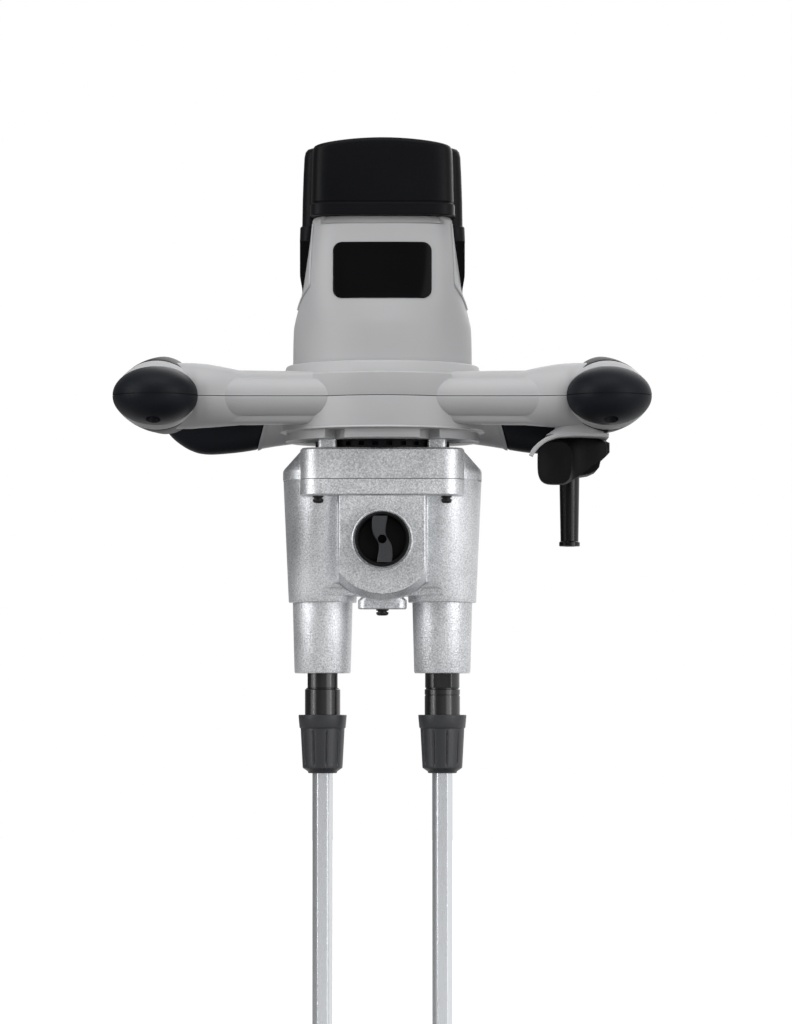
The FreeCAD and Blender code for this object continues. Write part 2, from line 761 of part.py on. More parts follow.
def build_gearbox():
    """Cover, case, bearing plate, screws and the closing lug under the casting."""
    bore_r = s.idler_shaft_r + s.running_gap
    counter_bore_r = s.counter_shaft_r + s.running_gap
    journal_bore_r = s.spindle_journal_r + s.running_gap
    shoulder = parting + s.cover_height - s.cover_shoulder_height
    top_half = spindle_x + s.cover_top_round
    top_round = s.cover_top_round * ROUND_SHARE
    top = level_outline(cover_top, top_half, s.case_front_y, s.case_back_y, top_round)
    shoulders = Part.makeLoft([case_outline(shoulder, 0), top], True, True)
    skirt = prism(case_outline(parting, 0), UP * (shoulder - parting))
    cover = shoulders.fuse([skirt, front_block(parting, cover_top)] + neck_posts())
    bearing_floor = cover_top - s.front_bearing_height
    holes = [upright(s.front_bearing_r, 0, 0, bearing_floor, cover_top + s.overrun),
             upright(s.motor_shaft_r + s.moving_gap, 0, 0, parting - s.overrun, bearing_floor),
             upright(bore_r, idler_x, spindle_y, parting - s.overrun, journal_top),
             upright(counter_bore_r, counter_x, counter_y, parting - s.overrun, journal_top)]
    screw_top = cover_top - s.case_wall
    screws = []
    for x, y in gearbox_screw_places():
        holes.append(upright(s.gearbox_screw_r, x, y, block_low - s.overrun, screw_top))
        shank = upright(s.gearbox_screw_r, x, y, block_low, screw_top)
        head = upright(s.gearbox_screw_head_r, x, y, block_low - s.gearbox_screw_head, block_low)
        screws.append(shank.fuse(head))
    less("gearbox_cover", cover, holes)

    body = Part.makeLoft([case_outline(parting, 0), case_outline(case_step, 1)], True, True)
    boss_spans = ((-s.boss_half, s.boss_half), (boss_low, parting))
    boss_round = s.boss_half * ROUND_SHARE
    boss_back = spindle_y - s.case_step_round
    boss_slope = s.boss_chamfer
    near = round_rectangle(Vector(0, s.boss_face, 0), ACROSS, UP, boss_spans, boss_round)
    far_spans = ((-s.boss_half - boss_slope, s.boss_half + boss_slope), (boss_low - boss_slope, parting))
    far = round_rectangle(Vector(0, boss_back, 0), ACROSS, UP, far_spans, boss_round)
    boss = Part.makeLoft([near, far], True, True)
    sleeves = [Part.makeCone(s.sleeve_tip_r, s.sleeve_r, s.sleeve_height, axis + UP * sleeve_end)
               for axis in (left_spindle_axis, right_spindle_axis)]
    lug_low = case_step - s.lug_height
    lug = block((-s.lug_half, s.lug_half), (boss_back, boss_back + s.lug_depth), (lug_low, case_step))
    square_top = block((-s.boss_half - boss_slope, s.boss_half + boss_slope), (s.boss_face, boss_back),
                       (block_low, parting))
    case = body.fuse([boss, square_top, front_block(block_low, parting), lug] + sleeves)

    first_r = tip_radius(s.first_module, s.first_gear_teeth) + s.gear_spacing / 2
    counter_r = tip_radius(s.second_module, s.counter_pinion_teeth) + s.gear_spacing / 2
    drive_r = tip_radius(s.drive_module, s.spindle_teeth) + s.gear_spacing / 4
    second_r = tip_radius(s.second_module, s.second_gear_teeth) + s.gear_spacing / 2
    upper_half = spindle_x + s.spindle_gear_seat_r
    upper = prism(level_outline(plate_low, upper_half, spindle_y - second_r, spindle_y + second_r,
                                s.spindle_gear_seat_r), UP * (parting - plate_low))
    lower_wire = level_outline(pocket_floor, spindle_x + drive_r, spindle_y - drive_r,
                               spindle_y + drive_r, drive_r * ROUND_SHARE)
    lower = prism(lower_wire, UP * (plate_low - pocket_floor))
    pockets = [upper, lower,
               upright(first_r, counter_x, counter_y, first_low - s.gear_spacing / 2, parting),
               upright(counter_r, counter_x, counter_y, plate_low, parting)]
    for x in (-spindle_x, spindle_x):
        pockets.append(upright(s.spindle_bearing_r, x, spindle_y, bearing_low, pocket_floor))
        pockets.append(upright(s.spindle_r + s.moving_gap, x, spindle_y, sleeve_end, bearing_low))
        pockets.append(upright(s.seal_r, x, spindle_y, sleeve_end - s.overrun, seal_top))
    for x in (-idler_x, idler_x):
        pockets.append(upright(bore_r, x, spindle_y, idler_foot, pocket_floor))
    head_r = s.gearbox_screw_head_r + s.moving_gap
    for x, y in gearbox_screw_places():
        pockets.append(upright(s.gearbox_screw_r, x, y, block_low - s.overrun, parting + s.overrun))
        pockets.append(upright(head_r, x, y, block_low - s.gearbox_screw_head * HEAD_ROOM_SHARE, block_low))
    lug_y = boss_back + s.lug_depth / 2
    lug_screw = upright(s.lug_screw_r, 0, lug_y, lug_low, lug_low + s.lug_screw_length)
    pockets.append(lug_screw)
    knob_bore = rod_between(s.knob_shaft_r + s.running_gap, Vector(0, s.boss_face - s.overrun, knob_z),
                            Vector(0, fork_front, knob_z))
    knob_seat = rod_between(s.knob_ring_r, Vector(0, s.boss_face - s.overrun, knob_z),
                            Vector(0, s.boss_face + s.knob_sink, knob_z))
    pockets += [knob_bore, knob_seat, fork_pocket(), shift_rail()]
    less("gearbox_case", case, pockets)
    screws.append(lug_screw.fuse(upright(s.lug_screw_head_r, 0, lug_y,
                                         lug_low - s.screw_head_height, lug_low)))
    shaped("gearbox_screws", Part.makeCompound(screws))
    plate_gap = s.running_gap
    plate = prism(level_outline(plate_low, upper_half - plate_gap, spindle_y - second_r + plate_gap,
                                spindle_y + second_r - plate_gap, s.spindle_gear_seat_r),
                  UP * s.plate_thickness)
    ear = upright(counter_r - plate_gap, counter_x, counter_y, plate_low, plate_top)
    plate_holes = [upright(journal_bore_r, x, spindle_y, plate_low - s.overrun, plate_top + s.overrun)
                   for x in (-spindle_x, spindle_x)]
    plate_holes += [upright(bore_r, x, spindle_y, plate_low - s.overrun, plate_top + s.overrun)
                    for x in (-idler_x, idler_x)]
    plate_holes.append(upright(counter_bore_r, counter_x, counter_y, plate_low - s.overrun,
                               plate_top + s.overrun))
    less("bearing_plate", plate.fuse(ear), plate_holes)


# The selector's sliding fork runs on a rail behind the knob, under the counter shaft
fork_front = counter_y - s.fork_depth
fork_back = counter_y
pin_lean = s.knob_pin_offset * math.sqrt(0.5)
fork_low = knob_z - pin_lean - s.fork_height / 2


def fork_pocket():
    """The room in which the fork slides."""
    gap = s.moving_gap
    half = s.fork_width / 2 + gap
    high = knob_z + pin_lean + s.fork_height / 2 + gap
    return block((-half, half), (fork_front - gap, spindle_y), (fork_low - gap, high))


def shift_rail():
    """The fixed rail that carries the fork."""
    middle = (fork_front + fork_back) / 2
    return upright(s.rail_r, s.rail_offset, middle, fork_low - s.fork_height / 2, plate_low)


def build_selector():
    """Speed selector: ribbed knob with an eccentric pin that lifts a fork along a rail."""
    face = s.boss_face + s.knob_sink - s.moving_gap
    front = face - s.knob_height
    rib_root = front + s.knob_rib_height
    disc = rod_between(s.knob_r, Vector(0, front, knob_z), Vector(0, face, knob_z))
    half_rib = s.knob_rib_width / 2
    rim = s.knob_r - s.knob_rib_width / 4
    hollow = rod_between(rim, Vector(0, front - s.overrun, knob_z), Vector(0, rib_root, knob_z))
    rib = block((-half_rib, half_rib), (front - s.overrun, rib_root + s.overrun),
                (knob_z - s.knob_r, knob_z + s.knob_r))
    hole = rod_between(s.knob_hole_r, Vector(0, front - s.overrun, knob_z), Vector(0, rib_root, knob_z))
    shaft_end = fork_front - s.moving_gap
    shaft = rod_between(s.knob_shaft_r, Vector(0, face, knob_z), Vector(0, shaft_end, knob_z))
    pin_start = Vector(-pin_lean, shaft_end, knob_z - pin_lean)
    pin = rod_between(s.knob_pin_r, pin_start, pin_start + DEEP * s.knob_pin_length)
    less("selector_knob", disc.fuse([shaft, pin]), [hollow.cut(rib), hole])

    half = s.fork_width / 2
    body = block((-half, half), (fork_front, fork_back), (fork_low, fork_low + s.fork_height))
    slot_half = s.knob_pin_r + s.moving_gap
    slot_z = knob_z - pin_lean
    slot = block((-half - s.overrun, s.rail_offset - s.rail_r - s.moving_gap * 3),
                 (fork_front - s.overrun, fork_front + s.knob_pin_length + s.moving_gap),
                 (slot_z - slot_half, slot_z + slot_half))
    middle = (fork_front + fork_back) / 2
    guide = upright(s.rail_r + s.running_gap, s.rail_offset, middle, fork_low - s.overrun,
                    fork_low + s.fork_height + s.overrun)
    less("shift_fork", body, [slot, guide])
    shaped("shift_rail", shift_rail())


# Heights of the chucks, collars, rods and paddles
neck_low = sleeve_end - s.chuck_neck_height
ring_low = neck_low - s.chuck_ring_height
chuck_step = ring_low - s.chuck_body_height
nose_low = chuck_step - s.chuck_nose_height
flange_low = ring_low - s.collar_flange_height
taper_low = flange_low - s.collar_taper_height
collar_low = taper_low - s.collar_bevel_height
floor_top = collar_low + s.collar_floor
rod_top = nose_low + s.rod_grip
rod_low = rod_top - s.rod_length
rod_corner_r = s.rod_flats / math.sqrt(3)
paddle_top = rod_low + s.paddle_height


def hex_bar(flats, axis, low, high):
    """A hexagonal bar with two of its flats facing front and back."""
    corner_r = flats / math.sqrt(3)
    corners = [axis + Vector(corner_r * math.cos(turn), corner_r * math.sin(turn), low)
               for turn in (2 * math.pi * number / HEX_SIDES for number in range(HEX_SIDES))]
    return prism(Part.makePolygon(corners + corners[:1]), UP * (high - low))


def build_chuck(side, x, flats_face_front):
    """A chuck with wrench flats and a hexagonal socket, its sliding collar and spring."""
    axis = Vector(x, spindle_y, 0)
    profile = [(s.spindle_stub_r, sleeve_end), (s.chuck_r, sleeve_end), (s.chuck_r, chuck_step),
               (s.chuck_nose_r, chuck_step), (s.chuck_nose_r, nose_low), (0, nose_low),
               (0, sleeve_end - s.spindle_stub_length),
               (s.spindle_stub_r, sleeve_end - s.spindle_stub_length)]
    blank = turned(f"{side}_chuck_blank", profile, x, spindle_y)
    half = s.chuck_flats / 2
    far = s.chuck_r + s.overrun
    wide = (-far, far)
    cuts = [hex_bar(s.rod_flats + 2 * s.socket_gap, axis, nose_low - s.overrun, rod_top)]
    for near, end in ((half, far), (-far, -half)):
        spans = (wide, (near, end)) if flats_face_front else ((near, end), wide)
        slab = block(*spans, (neck_low, sleeve_end + s.overrun))
        slab.translate(axis)
        cuts.append(slab)
    carved(f"{side}_chuck", blank, cuts)

    inner = s.chuck_r + s.moving_gap
    spring_r = (s.chuck_nose_r + s.chuck_r) / 2
    shelf = chuck_step - s.collar_travel - s.moving_gap
    lower_bore = spring_r + s.collar_spring_wire
    hole = rod_corner_r + s.moving_gap
    shell = turned(f"{side}_collar_blank",
                   [(inner, ring_low), (s.collar_flange_r, ring_low), (s.collar_flange_r, flange_low),
                    (s.collar_top_r, flange_low), (s.collar_low_r, taper_low),
                    (s.collar_bevel_r, collar_low), (hole, collar_low), (hole, floor_top),
                    (lower_bore, floor_top), (lower_bore, shelf), (inner, shelf)], x, spindle_y)
    flutes = []
    for number in range(int(s.collar_flutes)):
        turn = 2 * math.pi * number / s.collar_flutes
        outward = Vector(math.cos(turn), math.sin(turn), 0)
        reach = s.collar_flute_r * FLUTE_SHARE
        top = axis + outward * (s.collar_top_r + reach) + UP * flange_low
        foot = axis + outward * (s.collar_low_r + reach) + UP * (taper_low + s.collar_flute_r)
        flutes.append(rod_between(s.collar_flute_r, foot, top))
    carved(f"{side}_collar", shell, flutes)
    shaped(f"{side}_collar_spring", coil(axis.x, axis.y, floor_top, chuck_step, spring_r,
                                         s.collar_spring_wire, s.collar_spring_turns))


# Stations of a paddle strip from top to bottom: shares of radius, of height and of twist
STRIP_SHARES = ((0.15, 0.06, 0.00), (0.45, 0.00, 0.02), (0.78, 0.05, 0.08), (0.96, 0.22, 0.26),
                (1.00, 0.50, 0.50), (0.96, 0.78, 0.74), (0.78, 0.95, 0.92), (0.45, 1.00, 0.98),
                (0.15, 0.94, 1.00))


def strip(start_angle):
    """One flat strip of a paddle: out from the top hub, round in a helix and back to the bottom hub."""
    middle_r = s.paddle_r - s.strip_thickness / 2
    tall = s.paddle_height - s.strip_thickness
    high = paddle_top - s.strip_thickness / 2
    points = []
    for radius_share, height_share, twist_share in STRIP_SHARES:
        turn = start_angle + math.radians(s.strip_twist) * twist_share
        radius = middle_r * radius_share
        points.append(Vector(radius * math.cos(turn), radius * math.sin(turn), high - tall * height_share))
    heart = Vector(0, 0, high - tall / 2)
    sections = []
    for index, point in enumerate(points):
        before = points[max(index - 1, 0)]
        after = points[min(index + 1, len(points) - 1)]
        run = (after - before).normalize()
        outward = point - heart
        flat = run.cross(outward).normalize() * (s.strip_width / 2)
        thick = flat.cross(run).normalize() * (s.strip_thickness / 2)
        corners = [point + flat + thick, point - flat + thick, point - flat - thick, point + flat - thick]
        sections.append(Part.makePolygon(corners + corners[:1]))
    return Part.makeLoft(sections, True, False)


def build_paddles():
    """Two mirrored welded paddles on rods, half a strip apart so that they pass between each other."""
    hubs = []
    for low in (rod_low, paddle_top - s.paddle_hub_height):
        hubs.append(upright(s.paddle_hub_r, 0, 0, low, low + s.paddle_hub_height))
    step = 2 * math.pi / s.paddle_strips
    for side, axis, start in (("right", right_spindle_axis, 0), ("left", left_spindle_axis, step / 2)):
        strips = [strip(start + number * step) for number in range(int(s.paddle_strips))]
        paddle = hubs[0].fuse([hubs[1]] + strips)
        if side == "left":
            paddle = mirrored(paddle)
        paddle.translate(axis)
        shaped(f"{side}_paddle", paddle.fuse(hex_bar(s.rod_flats, axis, rod_low, rod_top)))


def build_neck():
    """The black slotted ring between hub and gearbox."""
    inner = s.neck_r - s.neck_wall
    ring = upright(s.neck_r, 0, 0, cover_top, hub_bottom).cut(upright(inner, 0, 0, cover_top - s.overrun,
                                                                     hub_bottom + s.overrun))
    slots = []
    slot_low = cover_top + s.neck_height / 4
    for number in range(int(s.neck_slots)):
        half = s.neck_slot_width / 2
        slot = block((s.neck_r - s.neck_slot_depth, s.neck_r + s.overrun), (-half, half),
                     (slot_low, hub_bottom - s.neck_height / 4))
        slot.rotate(ZERO, UP, 360 * number / s.neck_slots)
        slots.append(slot)
    less("vent_neck", ring, slots + neck_posts())


def neck_posts():
    """The casting's posts that carry the hub."""
    return [upright(s.post_r, x, y, cover_top, hub_bottom) for x in (-s.post_x, s.post_x)
            for y in (-s.post_y, s.post_y)]


housing_top = s.housing_base + s.housing_height
cavity_top = housing_top + s.cap_cavity_height
armature_top = s.armature_base + s.armature_height
stator_low = s.armature_base - s.stator_overhang
stator_top = armature_top + s.stator_overhang
brush_z = s.commutator_base + s.commutator_height / 2


def build_motor():
    """Universal motor: wound core, commutator, fan, stator, field coils and brush gear."""
    shaft_r = s.motor_shaft_r
    keep(sleeve("armature_core", s.armature_r, shaft_r, s.armature_base, armature_top))
    low_end = s.armature_base - s.winding_height
    high_end = armature_top + s.winding_height
    windings = [upright(s.winding_r, 0, 0, low_end, s.armature_base),
                upright(s.winding_r, 0, 0, armature_top, high_end)]
    shaft_space = upright(shaft_r, 0, 0, low_end - s.overrun, high_end + s.overrun)
    less("armature_windings", Part.makeCompound(windings), [shaft_space])
    keep(sleeve("commutator", s.commutator_r, shaft_r, s.commutator_base,
                s.commutator_base + s.commutator_height))
    fan_top = s.fan_base + s.fan_height
    disc = upright(s.fan_r, 0, 0, s.fan_base, s.fan_base + s.fan_disc)
    hub = upright(s.fan_hub_r, 0, 0, s.fan_base, fan_top)
    blades = []
    for number in range(int(s.fan_blades)):
        half = s.fan_blade_wall / 2
        blade = block((s.fan_hub_r - s.fan_blade_wall, s.fan_r - s.fan_blade_wall), (-half, half),
                      (s.fan_base, fan_top))
        blade.rotate(ZERO, UP, 360 * number / s.fan_blades)
        blades.append(blade)
    less("cooling_fan", disc.fuse([hub] + blades),
         [upright(shaft_r, 0, 0, s.fan_base - s.overrun, fan_top + s.overrun)])
    keep(sleeve("stator_core", s.stator_r, s.stator_bore_r, stator_low, stator_top))
    coil_bore = s.coil_r - s.coil_wall
    coils = []
    for low, high in ((stator_low - s.coil_height, stator_low), (stator_top, stator_top + s.coil_height)):
        ring = upright(s.coil_r, 0, 0, low, high)
        coils.append(ring.cut(upright(coil_bore, 0, 0, low - s.overrun, high + s.overrun)))
    shaped("field_coils", Part.makeCompound(coils))

    bracket_bore = s.stator_r - s.bracket_wall
    bracket_low = s.commutator_base
    bracket_high = s.commutator_base + s.commutator_height
    bracket = upright(s.stator_r, 0, 0, bracket_low, bracket_high)
    bracket = bracket.cut(upright(bracket_bore, 0, 0, bracket_low - s.overrun, bracket_high + s.overrun))
    half_width = s.brush_width / 2
    half_height = s.brush_height / 2
    wall = s.holder_wall
    brush_start = s.commutator_r + s.moving_gap
    holder_start = brush_start + s.holder_wall
    holder_end = bracket_bore + s.bracket_wall / 2
    brushes = []
    holders = []
    for turn in (0, 180):
        brush = block((-half_width, half_width), (brush_start, brush_start + s.brush_length),
                      (brush_z - half_height, brush_z + half_height))
        holder = block((-half_width - wall, half_width + wall), (holder_start, holder_end),
                       (brush_z - half_height - wall, brush_z + half_height + wall))
        channel = block((-half_width, half_width), (holder_start - s.overrun, holder_end - wall),
                        (brush_z - half_height, brush_z + half_height))
        for solid in (brush, holder, channel):
            solid.rotate(ZERO, UP, turn)
        brushes.append(brush)
        holders.append((holder, channel))
    shaped("carbon_brushes", Part.makeCompound(brushes))
    shaped("brush_holders", Part.makeCompound([holder.cut(channel) for holder, channel in holders]))
    less("brush_bracket", bracket, [holder for holder, channel in holders])


def housing_body(proud):
    """The motor housing's outer form, grown by a little for what lies on it."""
    foot_top = s.housing_base + s.housing_foot_height
    waist = foot_top + s.housing_waist_height
    levels = ((s.housing_base, s.housing_foot_half, s.housing_foot_depth, FOOT_ROUND_SHARE),
              (foot_top, s.housing_foot_half, s.housing_foot_depth, FOOT_ROUND_SHARE),
              (waist, s.housing_waist_half, s.housing_waist_depth, WAIST_ROUND_SHARE),
              (housing_top, s.housing_top_half, s.housing_top_depth, TOP_ROUND_SHARE))
    wires = []
    for z, half, depth, share in levels:
        radius = depth * share
        wires.append(level_outline(z, half + proud, -depth - proud, depth + proud, radius + proud))
    return Part.makeLoft(wires, True, True)


def build_housing():
    """Motor housing with its blank front plate and blank side plates."""
    outer = housing_body(0)
    bore = upright(s.stator_r, 0, 0, s.housing_base - s.overrun, housing_top + s.overrun)
    slot_half = s.vent_slot_width / 2
    slot = block((-slot_half, slot_half),
                 (-s.housing_top_depth - s.overrun, -s.housing_top_depth + s.vent_slot_depth),
                 (housing_top - s.vent_slot_height, housing_top + s.overrun))
    half = s.front_plate_width / 2
    spans = ((-half, half), (s.front_plate_z - s.front_plate_height / 2,
                             s.front_plate_z + s.front_plate_height / 2))
    wire = round_rectangle(Vector(0, -s.housing_foot_depth, 0), ACROSS, UP, spans, s.front_plate_corner)
    window = prism(wire, DEEP * s.housing_foot_depth)
    plate = housing_body(s.front_plate_proud).common(window).cut(housing_body(0))
    less("motor_housing", outer, [bore, slot] + [shank for head, shank, access in cap_screws()])
    shaped("front_plate", plate)
    high = housing_top - s.cap_lobe_skirt
    plate_half = s.side_plate_width / 2
    low = high - s.side_plate_height
    corners = [Vector(0, -plate_half, high), Vector(0, plate_half, high),
               Vector(0, plate_half * SIDE_TAPER_SHARE, low + s.side_plate_height * SIDE_RISE_SHARE),
               Vector(0, -plate_half * SIDE_TAPER_SHARE, low)]
    wedge = prism(Part.makePolygon(corners + corners[:1]), ACROSS * s.housing_waist_half)
    right = wedge.cut(outer)
    shaped("right_side_plate", right)
    shaped("left_side_plate", mirrored(right))


def cap_body():
    """The cap's outer form: a deep front and back panel with two lower side lobes."""
    inset = s.cap_top_inset
    top = housing_top + s.cap_rise
    shoulder = top - s.cap_top_round
    panel_round = s.cap_panel_depth * TOP_ROUND_SHARE
    panel = Part.makeLoft([
        level_outline(housing_top, s.cap_panel_half, -s.cap_panel_depth, s.cap_panel_depth, panel_round),
        level_outline(shoulder, s.cap_panel_half - inset / 2, inset - s.cap_panel_depth,
                      s.cap_panel_depth - inset, panel_round),
        level_outline(top, s.cap_panel_half - s.cap_top_round, inset + s.cap_top_round - s.cap_panel_depth,
                      s.cap_panel_depth - inset - s.cap_top_round, panel_round - s.cap_top_round / 2)],
        True, True)
    crown = Part.makeLoft([
        level_outline(top, s.cap_panel_half - s.cap_top_round, inset + s.cap_top_round - s.cap_panel_depth,
                      s.cap_panel_depth - inset - s.cap_top_round, panel_round - s.cap_top_round / 2),
        level_outline(top + s.cap_dome, s.cap_panel_half / 2, -s.cap_panel_depth / 2,
                      s.cap_panel_depth / 2, panel_round / 2)], True, True)
    lobe_half = s.cap_lobe_width / 2
    lobe_low = housing_top - s.cap_lobe_skirt
    lobe_top = top - s.cap_lobe_drop
    lobes = Part.makeLoft([
        level_outline(lobe_low, s.cap_lobe_half, -lobe_half, lobe_half, s.cap_lobe_round),
        level_outline(lobe_top - s.cap_lobe_round, s.cap_lobe_top_half, -lobe_half, lobe_half,
                      s.cap_lobe_round),
        level_outline(lobe_top, s.cap_lobe_top_half - s.cap_lobe_round, s.cap_lobe_round - lobe_half,
                      lobe_half - s.cap_lobe_round, s.cap_lobe_round)], True, True)
    return panel.fuse([crown, lobes])


def build_cap():
    """Motor cap with the rear bearing's pocket and four sunk screws."""
    bearing_top = cavity_top + s.rear_bearing_height
    cuts = [housing_body(0), upright(s.stator_r, 0, 0, housing_top - s.overrun, cavity_top),
            upright(s.rear_bearing_r, 0, 0, cavity_top, bearing_top),
            upright(s.motor_shaft_r + s.moving_gap, 0, 0, bearing_top, s.motor_shaft_rise + s.moving_gap)]
    for head, shank, access in cap_screws():
        cuts += [access, shank]
    less("top_cap", cap_body(), cuts)
    shaped("cap_screws", Part.makeCompound([head.fuse(shank) for head, shank, access in cap_screws()]))


def cap_screws():
    """Heads, shanks and access holes of the four screws that hold the cap on the housing."""
    top = housing_top + s.cap_rise
    head_low = top - s.cap_screw_sink
    spread = s.cap_screw_spread
    screws = []
    for x, y in ((-spread, -spread), (spread, -spread), (spread, spread), (-spread, spread)):
        head = upright(s.cap_screw_head_r, x, y, head_low, head_low + s.screw_head_height)
        shank = upright(s.cap_screw_r, x, y, head_low - s.cap_screw_length, head_low)
        access = upright(s.cap_screw_head_r, x, y, head_low, top + s.overrun)
        screws.append((head, shank, access))
    return screws


# Stations of a side bar from its front ball to its rear end:
# shares of the bar's length, lean, half width, rise and drop
BAR_SHARES = (
    (0.000, 0.00, 0.27, 0.17, 0.29),
    (0.025, 0.00, 0.60, 0.40, 0.63),
    (0.076, 0.00, 0.87, 0.58, 0.90),
    (0.166, 0.03, 1.00, 0.65, 1.00),
    (0.268, 0.12, 0.90, 0.77, 1.00),
    (0.382, 0.30, 0.70, 0.93, 0.95),
    (0.541, 0.48, 0.60, 1.00, 0.90),
    (0.732, 0.67, 0.57, 0.90, 0.97),
    (0.860, 0.85, 0.55, 0.67, 1.12),
    (0.943, 0.97, 0.50, 0.40, 1.05),
    (1.000, 1.00, 0.23, 0.10, 0.68))
# Stations of the arms from hub to bar: shares of reach, sweep, depth, rise and drop
FRONT_ARM_SHARES = (
    (0.00, 0.00, 1.00, 0.97, 1.00),
    (0.25, 0.16, 0.97, 0.97, 1.00),
    (0.55, 0.42, 0.90, 1.00, 1.00),
    (0.82, 0.75, 1.05, 1.06, 1.00),
    (1.00, 0.95, 1.15, 1.06, 0.95))
REAR_ARM_SHARES = (
    (0.00, 0.00, 1.00, 0.90, 0.70),
    (0.30, 0.20, 1.00, 0.90, 0.83),
    (0.58, 0.70, 1.00, 0.90, 0.97),
    (0.80, 1.00, 1.00, 1.00, 1.00),
    (0.98, 1.00, 0.95, 1.00, 0.80))
BAR_ROUND_SHARE = 0.9
CORE_STATIONS = (2, 3, 5, 7, 9)


def bar_section(shares, trim):
    """One upright section across a side bar, drawn in by a trim."""
    along_share, lean_share, width_share, rise_share, drop_share = shares
    x = s.bar_front_x - s.bar_lean * lean_share
    half = s.ball_half_width * width_share - trim
    high = s.grip_rise * rise_share - trim
    low = trim - s.bar_drop * drop_share
    radius = min(half, (high - low) / 2) * BAR_ROUND_SHARE
    centre = Vector(0, s.bar_front_y + s.bar_length * along_share, 0)
    return round_rectangle(centre, ACROSS, UP, ((x - half, x + half), (low, high)), radius)


def arm_section(shares, arm, trim):
    """One upright section across an arm of a given start, sweep, depth, rise and drop, drawn in by a trim."""
    reach_share, sweep_share, depth_share, rise_share, drop_share = shares
    start, sweep, depth, rise, drop = arm
    y = start + sweep * sweep_share
    half = depth * depth_share - trim
    high = rise * rise_share - trim
    low = trim - drop * drop_share
    radius = min(half, (high - low) / 2) * BAR_ROUND_SHARE
    centre = Vector(s.arm_root_x + s.arm_reach * reach_share, 0, 0)
    return round_rectangle(centre, DEEP, UP, ((y - half, y + half), (low, high)), radius)


def right_loop(trim):
    """The right side bar with its two arms; a trim gives the hidden core under the rubber."""
    front = (s.front_arm_y, -s.front_arm_sweep, s.front_arm_depth, s.front_arm_rise, s.bar_drop)
    rear = (s.rear_arm_y, s.rear_arm_sweep, s.rear_arm_depth, s.rear_arm_rise, s.rear_arm_drop)
    stations = CORE_STATIONS if trim else range(len(BAR_SHARES))
    lofts = [[bar_section(BAR_SHARES[number], trim) for number in stations],
             [arm_section(shares, front, trim) for shares in FRONT_ARM_SHARES],
             [arm_section(shares, rear, trim) for shares in REAR_ARM_SHARES]]
    bar, *arms = [Part.makeLoft(sections, True, bool(trim)) for sections in lofts]
    return bar.fuse(arms)


def far_block(x_span, y_span):
    """A tall block over the handle between limits in plan."""
    reach = s.grip_rise + s.rear_arm_drop
    return block(x_span, y_span, (-reach, reach))


def rubber_zones():
    """Where rubber covers the right loop, seen from above."""
    far_x = s.bar_front_x + s.ball_half_width + s.overrun
    near_y = s.bar_front_y - s.overrun
    far_y = s.bar_front_y + s.bar_length + s.overrun
    inner = s.rubber_inner_x
    grip_start = s.front_cap_back_y + s.front_rim_width
    return {
        "front_cap": far_block((inner, far_x), (near_y, s.front_cap_back_y)),
        "side_grip": far_block((inner, far_x), (grip_start, s.side_grip_back_y)),
        "rear_cap": far_block((inner, far_x), (s.rear_cap_front_y, far_y)),
        "arm_grip": far_block((s.arm_grip_start_x, s.arm_grip_start_x + s.arm_grip_width), (0, far_y)),
    }


def lathe(profile):
    """A solid spun about the motor axis from a half profile of (radius, height)."""
    corners = [Vector(radius, 0, z) for radius, z in profile]
    return Part.Face(Part.makePolygon(corners + corners[:1])).revolve(ZERO, UP, 360)


def handle_screws():
    """Heads, shanks and access holes of the screws that join the handle shells from below."""
    head_low = s.handle_screw_sink - s.bar_drop
    head_top = head_low + s.screw_head_height
    rear_x = s.bar_front_x - s.bar_lean
    rear_y = s.bar_front_y + s.bar_length - s.ball_half_width * SCREW_INSET_SHARE
    front_y = s.bar_front_y + s.ball_half_width
    screws = []
    for x, y in ((s.bar_front_x, front_y), (-s.bar_front_x, front_y), (rear_x, rear_y), (-rear_x, rear_y)):
        head = upright(s.handle_screw_head_r, x, y, head_low, head_top)
        shank = upright(s.handle_screw_r, x, y, head_top, head_low + s.handle_screw_length)
        access = upright(s.handle_screw_head_r, x, y, -s.rear_arm_drop - s.overrun, head_top)
        screws.append((head, shank, access))
    return screws


def guard_outline(z, trim):
    """The outline of the trigger's guard in a level plane."""
    half = s.guard_half_width - trim
    spans = ((s.guard_x - half, s.guard_x + half),
             (s.guard_front_y + trim, s.guard_front_y + s.guard_length - trim))
    return round_rectangle(Vector(0, 0, z), ACROSS, DEEP, spans, s.guard_corner - trim)


pin_y = s.trigger_front_y + s.trigger_length - s.trigger_pin_inset
pin_z = s.trigger_top - s.trigger_pin_drop


def trigger_pin():
    """The pin that carries the trigger between the guard's walls."""
    half = s.guard_half_width - s.guard_wall / 2
    return rod_between(s.trigger_pin_r, Vector(s.guard_x - half, pin_y, pin_z),
                       Vector(s.guard_x + half, pin_y, pin_z))


